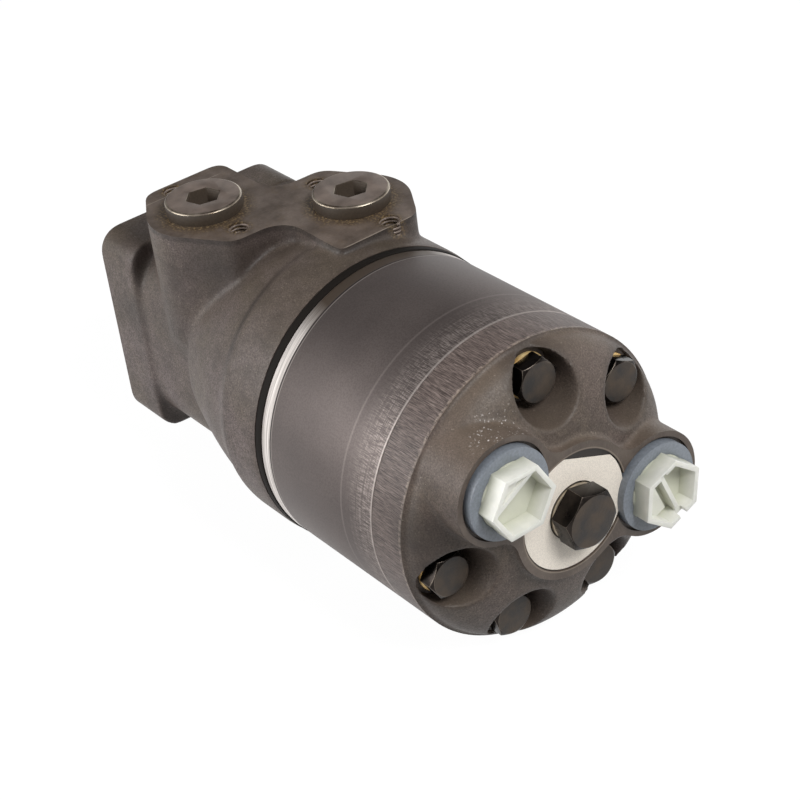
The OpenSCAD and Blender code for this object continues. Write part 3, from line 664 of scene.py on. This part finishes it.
# %% Milled iron
def milled_material(name, light, dark, marks_stretch):
    material, tree, surface, where = new_material(name)
    marks = use_group(tree, scratches, Where=where, Stretch=marks_stretch, Size_mm=0.5)
    speck = noise(tree, where, 0.45, 3.0)
    clouds = noise(tree, where, 9.0, 4.0, 0.6)
    colour = blend_colours(tree, remap(tree, clouds, 0.32, 0.68), rgb(*dark), rgb(*light))
    colour = coats(tree, colour, (remap(tree, speck, 0.45, 0.7), 0.35, dark),
                   (marks["Deep"], 0.14, (150, 138, 128)))
    feed(tree, surface, metallic=0.1, specular=0.45, roughness=remap(tree, clouds, 0.3, 0.7, 0.52, 0.42),
         normal=bump(tree, maths(tree, "ADD", speck, marks["Lines"]), 0.15, 0.12))
    return material, tree, surface, where, colour


print("Ready to make milled finishes")

# %% [markdown]
# The port face has a little rust, a scribed line and a bright rear edge. The plateau's round
# recess is painted nearly black as shade, so that a dark gap shows round the label, and its edge is rubbed.

# %% Port face and plateau
port_face_iron, tree, surface, where, colour = milled_material("Port face iron", (114, 101, 92), (74, 63, 55),
                                                               marks_stretch=(1, 0.15, 1))
parts = parts_of(tree, where)
rust = remap(tree, noise(tree, where, 5.0, 5.0, 0.7), 0.52, 0.68)
scribed = times(tree, in_band(tree, parts["X"], 24.7, 25.1, 0.12), in_band(tree, parts["Y"], -33.0, 0.5, 1.5))
rear_edge = in_band(tree, parts["X"], 97.5, 99.0, 0.3)
colour = coats(tree, colour, (rust, 0.4, (92, 76, 58)), (scribed, 0.55, (170, 158, 146)),
               (rear_edge, 0.45, (180, 166, 152)))
feed(tree, surface, colour=add_grime(tree, where, colour, port_spots))
plateau_iron, tree, surface, where, colour = milled_material("Plateau iron", (96, 85, 76), (72, 62, 55),
                                                             marks_stretch=(1, 1, 0.2))
parts = parts_of(tree, where)
reach = radius_of(tree, parts["Y"], parts["Z"])
# The recess round the label is painted nearly black, as the shade in its gap.
painted_recess_shade = in_band(tree, reach, -1.0, label_recess_r + 0.05, 0.15)
recess_edge = in_band(tree, reach, label_recess_r, label_recess_r + 0.6, 0.2)
colour = coats(tree, colour, (painted_recess_shade, 1, (34, 28, 24)), (recess_edge, 0.35, (160, 146, 130)))
feed(tree, surface, colour=colour)
print("Milled faces have two finishes")

# %% [markdown]
# ### Satin steel of the gear ring
# The ring is turned, ground and oiled. Its front edge is a bright ground land, and fine
# turning marks show near its rear edge. Position along the shaft tells these zones apart.

# %% Ring steel
ring_steel, tree, surface, where = new_material("Ring steel")
along = parts_of(tree, where)["X"]
turned = use_group(tree, scratches, Where=where, Stretch=(1, 0.015, 0.015), Size_mm=0.3)
ticks = use_group(tree, scratches, Where=where, Stretch=(0.12, 1, 1), Size_mm=0.35)
speck = noise(tree, where, 0.5, 3.0)
clouds = noise(tree, where, 30.0, 2.0)
colour = blend_colours(tree, remap(tree, clouds, 0.3, 0.7), rgb(84, 76, 74), rgb(102, 93, 90))
rear_marks = times(tree, remap(tree, ticks["Lines"], 0.42, 0.64), remap(tree, turned["Lines"], 0.3, 0.6),
                   in_band(tree, along, 149.0, 174.0, 9.0))
colour = coats(tree, colour, (remap(tree, speck, 0.42, 0.62), 0.35, (66, 58, 55)),
               (rear_marks, 0.7, (176, 164, 158)))
turning_lines = [(146.8, 148.0, 0.25), (149.6, 150.0, 0.2), (151.4, 151.8, 0.2), (153.0, 153.6, 0.25),
                 (154.8, 155.2, 0.3), (156.4, 156.8, 0.3), (158.0, 158.3, 0.3), (159.5, 159.8, 0.3)]
for start, end, share in turning_lines:
    colour = coats(tree, colour, (in_band(tree, along, start, end, 0.5), share, (150, 140, 136)))
rear_line = in_band(tree, along, 161.2, 162.6, 0.35)
colour = coats(tree, colour, (rear_line, 0.45, (200, 190, 184)))
land_start, land_end = 105.9, 111.3
land = in_band(tree, along, land_start, land_end, 0.15)
bright = blend_colours(tree, remap(tree, turned["Lines"], 0.35, 0.65), rgb(168, 160, 155), rgb(240, 233, 228))
# The land is painted darker and browner where it looks up, as shade.
bright = coats(tree, bright, (remap(tree, facing(tree)["Z"], 0.78, 0.9), 1, (84, 72, 62)))
groove = in_band(tree, along, land_end, land_end + 0.5, 0.12)
groove_edge = in_band(tree, along, land_end + 0.6, land_end + 1.0, 0.15)
colour = coats(tree, blend_colours(tree, land, colour, bright), (groove, 1, (46, 41, 39)),
               (groove_edge, 0.5, (190, 180, 174)))
rough = maths(tree, "SUBTRACT", remap(tree, clouds, 0.3, 0.7, 0.5, 0.56), times(tree, land, 0.04))
feed(tree, surface, colour=colour, metallic=0.55, roughness=rough,
     normal=bump(tree, maths(tree, "ADD", turned["Lines"], times(tree, speck, 0.4)), 0.1, 0.1))
print("Material:", ring_steel.name)

# %% [markdown]
# ### Plain metals, rubber and plastic
# The other pieces take their finishes from the two makers above, each with its own values.

# %% Simple finishes
black_oxide = metal("Black oxide", (52, 46, 42), (26, 23, 21), 0.3)
oxide_face = metal("Brown oxide", (66, 54, 42), (24, 19, 15), 0.6, size=1.0, metallic=0.0, depth=0.4)
plug_steel = metal("Plug steel", (136, 122, 113), (102, 90, 82), 0.45, metallic=0.3)
yellow_zinc = metal("Yellow zinc", (238, 214, 160), (208, 168, 104), 0.3, metallic=0.4)
bright_zinc = metal("Bright zinc", (206, 196, 178), (160, 148, 130), 0.32)
ground_steel = metal("Ground steel", (214, 212, 208), (176, 173, 170), 0.24, (1, 0.03, 0.03), 0.4)
gear_steel = metal("Gear steel", (176, 172, 168), (140, 136, 132), 0.32)
worn_edge = metal("Worn edge", (196, 186, 168), (92, 80, 66), 0.35, size=0.5)
rubbed_oxide = metal("Rubbed oxide", (124, 114, 104), (38, 33, 30), 0.35, size=0.5)
socket_grime = plain("Socket grime", (66, 54, 42), 0.7, 0.6, 0.3)
oily_side = plain("Oily plug side", (62, 52, 42), 0.5, 0.9, 0.35)
plate_steel = plain("Plate steel", (26, 22, 19), 0.7, 0.6, 0.1, specular=0.12)
seal_rubber = plain("Seal rubber", (34, 33, 33), 0.55)
label_paper = plain("Label paper", (242, 233, 220), 0.5, 0.3, 0.05)
disc_plastic = plain("Disc plastic", (124, 130, 138), 0.42, 0.8, 0.05, specular=0.5)
print("Finishes:", len(bpy.data.materials))


# %% [markdown]
# ### Milky shipping plastic
# The rear plugs are moulded from milky polyethylene, which lets light in and scatters it.
# Deep inside a cup the colour is painted darker and greener, as shade.

# %% Plug plastic
def milky_material():
    material, tree, surface, where = new_material("Milky plastic")
    clouds = noise(tree, where, 5.0, 4.0)
    colour = blend_colours(tree, remap(tree, clouds, 0.35, 0.7), rgb(214, 214, 206), rgb(228, 227, 219))
    along = times(tree, parts_of(tree, where)["X"], 1000.0)
    # Deeper in the cup the colour is painted darker and greener, as shade.
    colour = coats(tree, colour, (remap(tree, along, 200.8, 196.8), 0.7, (180, 182, 160)))
    feed(tree, surface, colour=colour, roughness=0.38, subsurface=0.35, specular=0.5,
         normal=bump(tree, clouds, 0.1, 0.15))
    surface.inputs["Subsurface Radius"].default_value = (1.0, 1.0, 0.9)
    surface.inputs["Subsurface Scale"].default_value = 0.003
    return material


milky_plastic = milky_material()
print("Material:", milky_plastic.name)

# %% [markdown]
# ## Working on a copy of a CAD piece
# The CAD mesh is a heap of loose triangles. A copy of it is merged, and then it is shaped like
# any other mesh. The normals that the CAD program stored are cleared, because they would stay as
# a pattern of dark and light squares after remeshing. Where edges are to be bevelled, the copy's
# flat faces are made whole first. That isn't done to a casting, whose wide curves would turn into
# coarse facets.

# %% Copies and selections
def copy_of(node, name, whole_faces=False):
    pick(bpy.data.objects[node])
    bpy.ops.object.duplicate()
    piece = bpy.context.object
    piece.name = name
    bpy.ops.object.parent_clear(type="CLEAR_KEEP_TRANSFORM")
    settle(piece)
    bpy.ops.mesh.customdata_custom_splitnormals_clear()
    bpy.ops.object.mode_set(mode="EDIT")
    bpy.ops.mesh.select_all(action="SELECT")
    bpy.ops.mesh.remove_doubles(threshold=0.000004)
    if whole_faces:
        bpy.ops.mesh.dissolve_limited(angle_limit=math.radians(0.2))
    bpy.ops.object.mode_set(mode="OBJECT")
    return piece


def wear(node, material):
    thing = bpy.data.objects[node]
    thing.data.materials.clear()
    thing.data.materials.append(material)


def take_faces(piece, chosen):
    """Enter edit mode with the faces selected for which chosen(centre in mm, normal) holds."""
    pick(piece)
    bpy.ops.object.mode_set(mode="EDIT")
    bpy.ops.mesh.select_mode(type="FACE")
    bpy.ops.mesh.select_all(action="DESELECT")
    bpy.ops.object.mode_set(mode="OBJECT")
    count = 0
    for face in piece.data.polygons:
        face.select = bool(chosen(face.center / MM, face.normal))
        count += face.select
    bpy.ops.object.mode_set(mode="EDIT")
    return count


def pull_out(piece, chosen, by_mm):
    count = take_faces(piece, chosen)
    bpy.ops.mesh.extrude_region_move(TRANSFORM_OT_translate={"value": mm(*by_mm)})
    bpy.ops.object.mode_set(mode="OBJECT")
    return count


def finish_faces(piece, material, chosen):
    """Give another finish to the chosen faces, such as those that a mill has cut."""
    count = take_faces(piece, chosen)
    bpy.ops.object.material_slot_add()
    piece.active_material = material
    bpy.ops.object.material_slot_assign()
    bpy.ops.object.mode_set(mode="OBJECT")
    return count


def cast_skin(piece, grain_mm, passes):
    """Melt overlapping solids into one skin and soften it, as sand and pouring do."""
    pick(piece)
    piece.data.remesh_voxel_size = grain_mm * MM
    bpy.ops.object.voxel_remesh()
    finish_modifier(piece, "SMOOTH", factor=0.5, iterations=passes)
    print(piece.name, "skin has", len(piece.data.polygons), "faces")


print("Ready to copy, select and cast")

# %% [markdown]
# ## The housing as a casting
# The real housing is poured in a sand mould, so its inner corners are soft fillets, and only
# what is machined afterwards has sharp edges. Modelling each fillet by hand would be slow, and
# a bevel can't follow where a boss melts into a bell. So the copy is treated like the real
# one: stock is left on the machined faces, the holes are filled, the whole is melted into
# one skin and softened, and then it is sawn, turned and drilled.

# %% Rough housing
stock = 6
housing = copy_of("housing", "housing_cast")
pull_out(housing, lambda c, n: abs(c.x) < 0.01 and n.x < -0.9, (-stock, 0, 0))
pull_out(housing, lambda c, n: abs(c.x - housing_end_x) < 0.01 and n.x > 0.9, (stock, 0, 0))
pull_out(housing, lambda c, n: abs(c.z - port_face_z) < 0.01 and n.z > 0.9, (0, 0, stock))
fillers = [rod("filler", -5, 0, 0, 30, 114), rod("filler", 71, 0, 0, 43.5, 38),
           rod("filler", 99, 0, 0, 49.3, 10)]
fillers += rods("filler", -5, flange_holes, 4.6, 21)
for x, y in side_ports:
    fillers.append(rod("filler", x, y, 5, 10.8, 52, axis="z"))
    for side in (-1, 1):
        fillers.append(rod("filler", x + side * port_bolt_offset, y, 36, 3.6, 21, axis="z"))
for filler in fillers:
    cut_with(housing, filler, "UNION")
cast_skin(housing, 0.95, 14)

# %% [markdown]
# Then the casting goes to the machine shop. All its holes are one joined cutter, because
# they don't touch each other, so one Boolean drills them all.

# %% Machined housing
slice_off(housing, mm(0, 0, 0), (-1, 0, 0))
slice_off(housing, mm(housing_end_x, 0, 0), (1, 0, 0))
slice_off(housing, mm(0, 0, port_face_z), (0, 0, 1))
cut_with(housing, turn_on_lathe("pilot", [(3, 20), (3, 22.2), (-2.3, 22.2), (-2.8, 21.7)]), "UNION")
drills = [turn_on_lathe("bore", [(-4, 19), (0.7, 19), (0.7, 17.9), (8.7, 17.9), (8.7, 13.5), (11.7, 13.5),
                                 (11.7, bore_r), (37, bore_r), (37, bore_groove_r), (47, bore_groove_r),
                                 (47, bore_r), (70.4, bore_r), (70.4, bore_groove_r), (80.4, bore_groove_r),
                                 (80.4, bore_r), (106, bore_r)])]
drills += rods("drill", -4, flange_holes, 4.25, 19)
for x, y in side_ports:
    drills.append(rod("drill", x, y, 36, port_r, 20, axis="z"))
    for side in (-1, 1):
        drills.append(rod("drill", x + side * port_bolt_offset, y, 39, port_screw_r, 16, axis="z"))
drills += rods("drill", 80, thread_places, 4.05, 26)
drills += rods("drill", 84, [around(34, slot * bolt_step) for slot in (2.5, 4.5)], 4.0, 22)
cut_with(housing, put_together("drills", *drills))
smooth_by_angle(housing, 38)
wear("housing_cast", housing_iron)
milled = finish_faces(housing, port_face_iron, lambda c, n: c.z > port_face_z - 0.01 and n.z > 0.9)
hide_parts("housing")
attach(housing, "motor_body")
print("Housing has", len(housing.data.polygons), "faces, of which", milled, "are milled")

# %% [markdown]
# ## The end cover as a casting
# The cover is made in the same way. Stock goes onto both its faces, its holes are filled, and
# all is melted into one softened skin.

# %% Rough cover
cover = copy_of("end_cover", "cover_cast")
pull_out(cover, lambda c, n: abs(c.x - cover_front_x) < 0.01 and n.x < -0.9, (-stock, 0, 0))
pull_out(cover, lambda c, n: abs(c.x - plateau_x) < 0.01 and n.x > 0.9, (stock, 0, 0))
fillers = [rod("filler", 157, 0, 0, 19.7, 42)]
fillers += rods("filler", 157, rear_ports, 15.5, 42)
fillers += rods("filler", 157, thread_places, 4.6, 19.15)
fillers.append(rod("filler", 156.5, 0, 0, 50.4, 18.9))
for filler in fillers:
    cut_with(cover, filler, "UNION")
cast_skin(cover, 0.8, 10)

# %% [markdown]
# Its rim is turned on a lathe, which leaves a straight band with a crisp edge. Then the label's
# recess is turned, the holes are drilled, and the flat face round the rear ports is milled.

# %% Machined cover
turned_rim = turn_on_lathe("turned_rim", [(cover_front_x, 48.7), (162.3, rim_r), (plateau_x, rim_r)])
cut_with(cover, turned_rim, "INTERSECT")
drills = [turn_on_lathe("label_recess", [(179.4, 6.65), (193.4, 6.65), (193.4, label_recess_r),
                                         (196, label_recess_r)])]
drills += rods("drill", 176.5, rear_ports, port_r, 18)
drills += rods("drill", 160, bolt_places, 4.3, 30)
cut_with(cover, put_together("drills", *drills))
spots = rods("spot", 192.5, rear_ports, 15.2, 5) + rods("spot", 176.2, bolt_places, 8.3, 12)
cut_with(cover, put_together("spots", *spots))
smooth_by_angle(cover, 38)
wear("cover_cast", cover_iron)
milled = finish_faces(cover, plateau_iron, lambda c, n: c.x > 192.4 and n.x > 0.95)
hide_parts("end_cover")
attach(cover, "motor_body")
print("Cover has", len(cover.data.polygons), "faces, of which", milled, "are milled")

# %% [markdown]
# ## Bolts, plugs and rings with broken edges
# No real edge is perfectly sharp: tools and hands wear it to a thin bright line, which
# catches the light. A Bevel modifier on a copy of the CAD piece makes that line, and gives its
# narrow faces the worn finish. Pieces that repeat share one CAD node, so one copy holds all. A
# fitter leaves each bolt head at its own turn, so some heads are turned as in the photograph.

# %% Broken edges
def turn_head(piece, y, z, degrees):
    """Turn one bolt of a piece about its own axis, which runs along the motor at y, z in mm."""
    take_faces(piece, lambda centre, normal: math.hypot(centre.y - y, centre.z - z) < 9)
    bpy.ops.transform.rotate(value=math.radians(degrees), orient_axis="X", center_override=mm(0, y, z))
    bpy.ops.object.mode_set(mode="OBJECT")


def bevel(piece, width_mm, degrees, **more):
    finish_modifier(piece, "BEVEL", width=width_mm * MM, segments=2, limit_method="ANGLE",
                    angle_limit=math.radians(degrees), **more)
    smooth_by_angle(piece, 32)


def with_broken_edges(node, material, width_mm, edge_material):
    piece = copy_of(node, node + "_worn", whole_faces=True)
    if node == "rear_seal_discs":
        for web in rods("web", 192.8, rear_ports, 12.5, 3.1):
            cut_with(piece, web, "UNION")
    if node == "drain_plug":
        turn_head(piece, 0, 0, drain_turn)
    if node == "cover_bolts":
        for slot, degrees in bolt_turns.items():
            turn_head(piece, *bolt_place(slot), degrees)
    piece.data.materials.clear()
    for finish in (material, edge_material):
        piece.data.materials.append(finish)
    bevel(piece, width_mm, 28, material=1)
    if node in ("cover_bolts", "drain_plug"):
        finish_faces(piece, oxide_face, lambda centre, normal: normal.x > 0.97)
    if node in ("side_plug_a", "side_plug_b"):
        x, y = side_ports[0 if node == "side_plug_a" else 1]
        finish_faces(piece, socket_grime, lambda centre, normal: centre.z > port_face_z and normal.z < 0.7
                     and math.hypot(centre.x - x, centre.y - y) < 7.5)
        finish_faces(piece, oily_side, lambda centre, normal: centre.z > 50 and abs(normal.z) < 0.3
                     and math.hypot(centre.x - x, centre.y - y) > 9)
    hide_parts(node)
    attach(piece, "motor_body")
    return piece


print("Ready to break edges")

# %% [markdown]
# Each of these pieces has its own finish and its own width of edge. The bolts get a narrow edge,
# and the plugs, washers and rings a wider one.

# %% Bolts, plugs and rings
drain_turn = 36
bolt_turns = {0: -10, 1: 25, 4: 15}
broken = []
for node, material, width_mm, edge_material, slot in [
        ("cover_bolts", black_oxide, 0.16, rubbed_oxide, "black_bolt"),
        ("bolt_washers", yellow_zinc, 0.3, yellow_zinc, "zinc_washer"),
        ("drain_plug", black_oxide, 0.16, rubbed_oxide, "black_bolt"),
        ("drain_washer", bright_zinc, 0.2, bright_zinc, "zinc_washer"),
        ("side_plug_a", plug_steel, 0.25, worn_edge, "black_bolt"),
        ("side_plug_b", plug_steel, 0.25, worn_edge, "black_bolt"),
        ("distributor_plate", plate_steel, 0.3, plate_steel, "ring_steel"),
        ("gear_ring", ring_steel, 0.3, ring_steel, "ring_steel"),
        ("rear_seal_discs", disc_plastic, 0.5, disc_plastic, "disc_plastic")]:
    piece = with_broken_edges(node, material, width_mm, edge_material)
    broken.append(piece)
print("Pieces with broken edges:", len(broken))

# %% [markdown]
# ## Milky hexagon plugs
# The two rear ports are shut with moulded plastic plugs. Each is a thin-walled hexagonal cup
# with webs inside, which a hexagonal cylinder becomes when its end is inset and pushed in.
# Each cup is made upright at the origin and then laid along the motor.

# %% Hexagon cup
cup_base_x = 196.1
cup_height = 6.2
cup_radius = 11.5
cup_wall = 1.5
cup_depth = 5.6


def hexagon_cup(name):
    bpy.ops.mesh.primitive_cylinder_add(vertices=6, radius=cup_radius * MM, depth=cup_height * MM,
                                        location=(0, 0, cup_height * MM / 2), rotation=(0, 0, math.pi / 6))
    cup = bpy.context.object
    cup.name = name
    settle(cup)
    take_faces(cup, lambda centre, normal: normal.z > 0.9)
    bpy.ops.mesh.inset(thickness=cup_wall * MM)
    bpy.ops.mesh.extrude_region_move(TRANSFORM_OT_translate={"value": (0, 0, -cup_depth * MM)})
    bpy.ops.transform.resize(value=(0.93, 0.93, 1), center_override=(0, 0, 0))
    bpy.ops.object.mode_set(mode="OBJECT")
    cut_with(cup, rod("shank", 0, 0, -15.6, 10.3, 15.8, axis="z"), "UNION")
    return cup


def bar(name, x, y, z, length, width, height, turn):
    """A block whose centre line passes over a place, turned about the upright axis."""
    bpy.ops.mesh.primitive_cube_add(size=1, location=mm(x, y, z), rotation=(0, 0, math.radians(turn)))
    block = bpy.context.object
    block.name = name
    block.scale = mm(length, width, height)
    settle(block)
    return block


def finish_cup(cup, angle, turn):
    """Round a cup's edges, stand it out of the cover at a rear port and make it plastic."""
    bevel(cup, 0.3, 25)
    y, z = around(rear_port_circle, angle)
    cup.rotation_euler = (0, 0, math.radians(turn))
    settle(cup)
    cup.rotation_euler = (math.pi / 2, 0, math.pi / 2)
    cup.location = mm(cup_base_x, y, z)
    settle(cup)
    cup.data.materials.clear()
    cup.data.materials.append(milky_plastic)


print("Cups are", cup_height, "mm high with walls of", cup_wall, "mm")

# %% [markdown]
# The left cup has a web along a chord, and a shallow shelf behind it.

# %% Left cup
inner = cup_radius - cup_wall * 2 / math.sqrt(3)


def corner(degrees, radius=inner):
    return radius * math.cos(math.radians(degrees)), radius * math.sin(math.radians(degrees))


left_cup = hexagon_cup("rear_plug_left_cup")
web_middle = [v * 0.5 for v in corner(120)]
chord = mm(*web_middle, 0)
bpy.ops.mesh.primitive_cylinder_add(vertices=6, radius=(inner + 0.3) * MM, depth=4.0 * MM,
                                    location=mm(0, 0, 2.3), rotation=(0, 0, math.pi / 6))
shelf = bpy.context.object
settle(shelf)
slice_off(shelf, chord, -chord.normalized())
web = bar("web", *web_middle, 2.8, 17.0, 1.3, 5.0, 30)
cut_with(left_cup, shelf, "UNION")
cut_with(left_cup, web, "UNION")
finish_cup(left_cup, rear_port_angles[0], 0)
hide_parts("rear_plug_left")
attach(left_cup, "motor_body")
print("Left cup has", len(left_cup.data.polygons), "faces")

# %% [markdown]
# The right cup has a web across its middle, a block beside it, and a notch in its rim where the
# web ends. Bars make all four, and they are joined to the cup or cut out of it.

# %% Right cup
right_cup = hexagon_cup("rear_plug_right_cup")
cup_turn = 22
web_on_cover = 112
web_line = web_on_cover - cup_turn
web = bar("web", 0, 0, 2.4, 17.6, 1.4, 4.4, web_line)
block = bar("block", *corner(web_line + 90, 5.2), 1.6, 10.0, 5.0, 2.6, web_line)
notch = bar("notch", *corner(web_line + 180, 9.6), 5.4, 6.0, 2.7, 2.8, web_line)
groove = bar("groove", *corner(web_line, 8.4), 5.2, 2.0, 2.2, 3.2, web_line)
cut_with(right_cup, web, "UNION")
cut_with(right_cup, block, "UNION")
cut_with(right_cup, notch)
cut_with(right_cup, groove)
finish_cup(right_cup, rear_port_angles[1], cup_turn)
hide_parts("rear_plug_right")
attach(right_cup, "motor_body")
print("Right cup has", len(right_cup.data.polygons), "faces")

# %% [markdown]
# ## The bare label
# The round recess of the cover holds a paper disc. It is a thin turned disc with a hole for the
# drain plug's washer, and its top is cut straight. It stays bare, without any print.

# %% Label
label_r = 18.9
label_cut_mm = 16.4
label = turn_on_lathe("label_disc", [(193.44, label_r), (193.6, label_r)], 160)
cut_with(label, rod("punch", 193, 0, 0, 9.25, 2, sides=96))
label_top = Vector((0, 0.38, 0.925)).normalized()
slice_off(label, mm(193.5, 0, 0) + label_top * label_cut_mm * MM, label_top)
label.data.materials.append(label_paper)
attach(label, "motor_body")
print("Label has", len(label.data.polygons), "faces")

# %% [markdown]
# ## Screw threads in the port face
# Four tapped holes flank the side ports. A thread is a ridge that climbs round the wall, so a
# small triangle is carried round by a Screw modifier, once, and copied into each hole.

# %% Threads
thread_pitch = 1.25
thread_turns = 6
thread_r = 3.55


def thread_ridge(name, radius, pitch, turns):
    """A helical ridge of triangular section that points inwards, with its start at the origin."""
    bpy.ops.mesh.primitive_circle_add(vertices=3, radius=pitch * 0.56 * MM, location=(radius * MM, 0, 0),
                                      rotation=(math.pi / 2, 0, math.pi / 2))
    ridge = bpy.context.object
    ridge.name = name
    ridge.rotation_euler = (math.pi / 2, -math.pi / 2, 0)
    settle(ridge)
    finish_modifier(ridge, "SCREW", angle=2 * math.pi * turns, screw_offset=-pitch * turns * MM,
                    steps=28 * turns, render_steps=28 * turns, use_merge_vertices=False,
                    use_smooth_shade=True)
    pick(ridge)
    bpy.ops.object.mode_set(mode="EDIT")
    bpy.ops.mesh.select_mode(type="EDGE")
    bpy.ops.mesh.select_all(action="DESELECT")
    bpy.ops.mesh.select_non_manifold()
    bpy.ops.mesh.fill_holes(sides=0)
    bpy.ops.mesh.select_all(action="SELECT")
    bpy.ops.mesh.normals_make_consistent(inside=False)
    bpy.ops.object.mode_set(mode="OBJECT")
    return ridge


pattern = thread_ridge("thread", thread_r, thread_pitch, thread_turns)
pattern.data.materials.append(plug_steel)
threads = []
for x, y in side_ports:
    for side in (-1, 1):
        pick(pattern)
        bpy.ops.object.duplicate()
        thread = bpy.context.object
        thread.name = "port_thread_%d" % (len(threads) + 1)
        thread.location = mm(x + side * port_bolt_offset, y, port_face_z - 0.4)
        settle(thread)
        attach(thread, "motor_body")
        threads.append(thread)
bpy.data.objects.remove(pattern)
print("Threads:", len(threads), "with", len(threads[0].data.polygons), "faces each")

# %% [markdown]
# ## Pieces that stay as CAD made them
# Their shape is right, so they only get their finish.

# %% Dress the CAD pieces
finishes = {
    ring_steel: ["gear_ring"],
    plate_steel: ["distributor_plate"],
    black_oxide: ["cover_bolts", "drain_plug"],
    plug_steel: ["side_plug_a", "side_plug_b", "check_stops"],
    yellow_zinc: ["bolt_washers"],
    bright_zinc: ["drain_washer"],
    ground_steel: ["output_shaft", "shaft_key", "thrust_race", "thrust_needles", "check_ball_a",
                   "check_ball_b"] + ["roller_%d" % n for n in range(1, 8)],
    gear_steel: ["rotor", "cardan_shaft", "cardan_spacer"],
    seal_rubber: ["dust_seal", "shaft_seal", "seal_ring_front", "seal_ring_middle", "seal_ring_rear",
                  "side_plug_seals"],
    milky_plastic: ["rear_plug_left", "rear_plug_right"],
    disc_plastic: ["rear_seal_discs"],
    housing_iron: ["housing"],
    cover_iron: ["end_cover"],
}
for material, nodes in finishes.items():
    for node in nodes:
        wear(node, material)
print("Dressed", sum(len(nodes) for nodes in finishes.values()), "CAD pieces")

# %% [markdown]
# ## The studio
# The photograph has a plain white ground. So the floor is dull and grey for the lamps' light, but
# it glows for the camera and for reflections. It stays white and hardly lights the motor.

# %% Floor
floor_glow_share = 0.78
lowest = cad_box[0][2]
bpy.ops.mesh.primitive_plane_add(size=6, location=(0, 0, lowest))
floor = bpy.context.object
floor.name = "studio_floor"
settle(floor)
floor_material, tree, surface, where = new_material("Studio floor")
feed(tree, surface, colour=(0.4, 0.4, 0.4, 1), roughness=0.9, specular=0.1)
ray = place(tree, "ShaderNodeLightPath").outputs
through = maths(tree, "ADD", ray["Is Glossy Ray"], ray["Is Transmission Ray"])
seen = times(tree, maths(tree, "ADD", ray["Is Camera Ray"], through), floor_glow_share)
white = place(tree, "ShaderNodeEmission", {"Color": (1, 1, 1, 1), "Strength": 1.22})
shown = place(tree, "ShaderNodeMixShader", {0: seen, 1: surface.outputs[0], 2: white.outputs[0]})
for node in tree.nodes:
    if node.type == "OUTPUT_MATERIAL":
        tree.links.new(shown.outputs[0], node.inputs["Surface"])
floor.data.materials.append(floor_material)
print("Floor is at", round(lowest * 1000, 2), "mm")

# %% [markdown]
# The world is a soft sky. It is bright on the wide lamp's side, darker overhead and behind the
# cover, with a bright low band on the far side. The camera sees it as plain white.

# %% World
world = bpy.data.worlds.new("Studio")
bpy.context.scene.world = world
world.use_nodes = True
tree = world.node_tree
tree.nodes.clear()
ray = place(tree, "ShaderNodeLightPath").outputs
heading = parts_of(tree, place(tree, "ShaderNodeTexCoord").outputs["Generated"])
overhead = remap(tree, heading["Z"], 0.15, 0.75)
light_side = remap(tree, heading["Y"], 0.3, -0.8, 0.35, 1.0)
rear_side = remap(tree, heading["X"], -0.2, 0.8, 1.0, 0.5)
wall = times(tree, light_side, rear_side, remap(tree, overhead, 0, 1, 0.6, 0.26))
backdrop = times(tree, remap(tree, heading["Y"], 0.4, 0.75), remap(tree, heading["Z"], 0.5, 0.2, 0.0, 1.8))
strength = maths(tree, "MAXIMUM", maths(tree, "ADD", wall, backdrop), ray["Is Camera Ray"])
sky = place(tree, "ShaderNodeBackground", {"Color": (1, 1, 1, 1), "Strength": strength})
place(tree, "ShaderNodeOutputWorld", {"Surface": sky.outputs[0]})
print("World:", world.name)

# %% [markdown]
# Two soft lamps give the highlights: a wide one at the left, and a square one high behind the
# camera, which lights the end cover.

# %% Lamps
motor_middle = mm(110, 0, 0)


def lamp(name, place_mm, size_mm, power):
    """A soft rectangular lamp that points at the middle of the motor."""
    data = bpy.data.lights.new(name, "AREA")
    data.shape = "RECTANGLE"
    data.size, data.size_y = size_mm[0] * MM, size_mm[1] * MM
    data.energy = power
    thing = bpy.data.objects.new(name, data)
    thing.location = mm(*place_mm)
    thing.rotation_euler = (motor_middle - thing.location).to_track_quat("-Z", "Y").to_euler()
    bpy.context.collection.objects.link(thing)


lamp("key_lamp", (-260, -880, 330), (900, 500), 8.2)
lamp("cover_lamp", (850, 60, 760), (420, 420), 9.0)
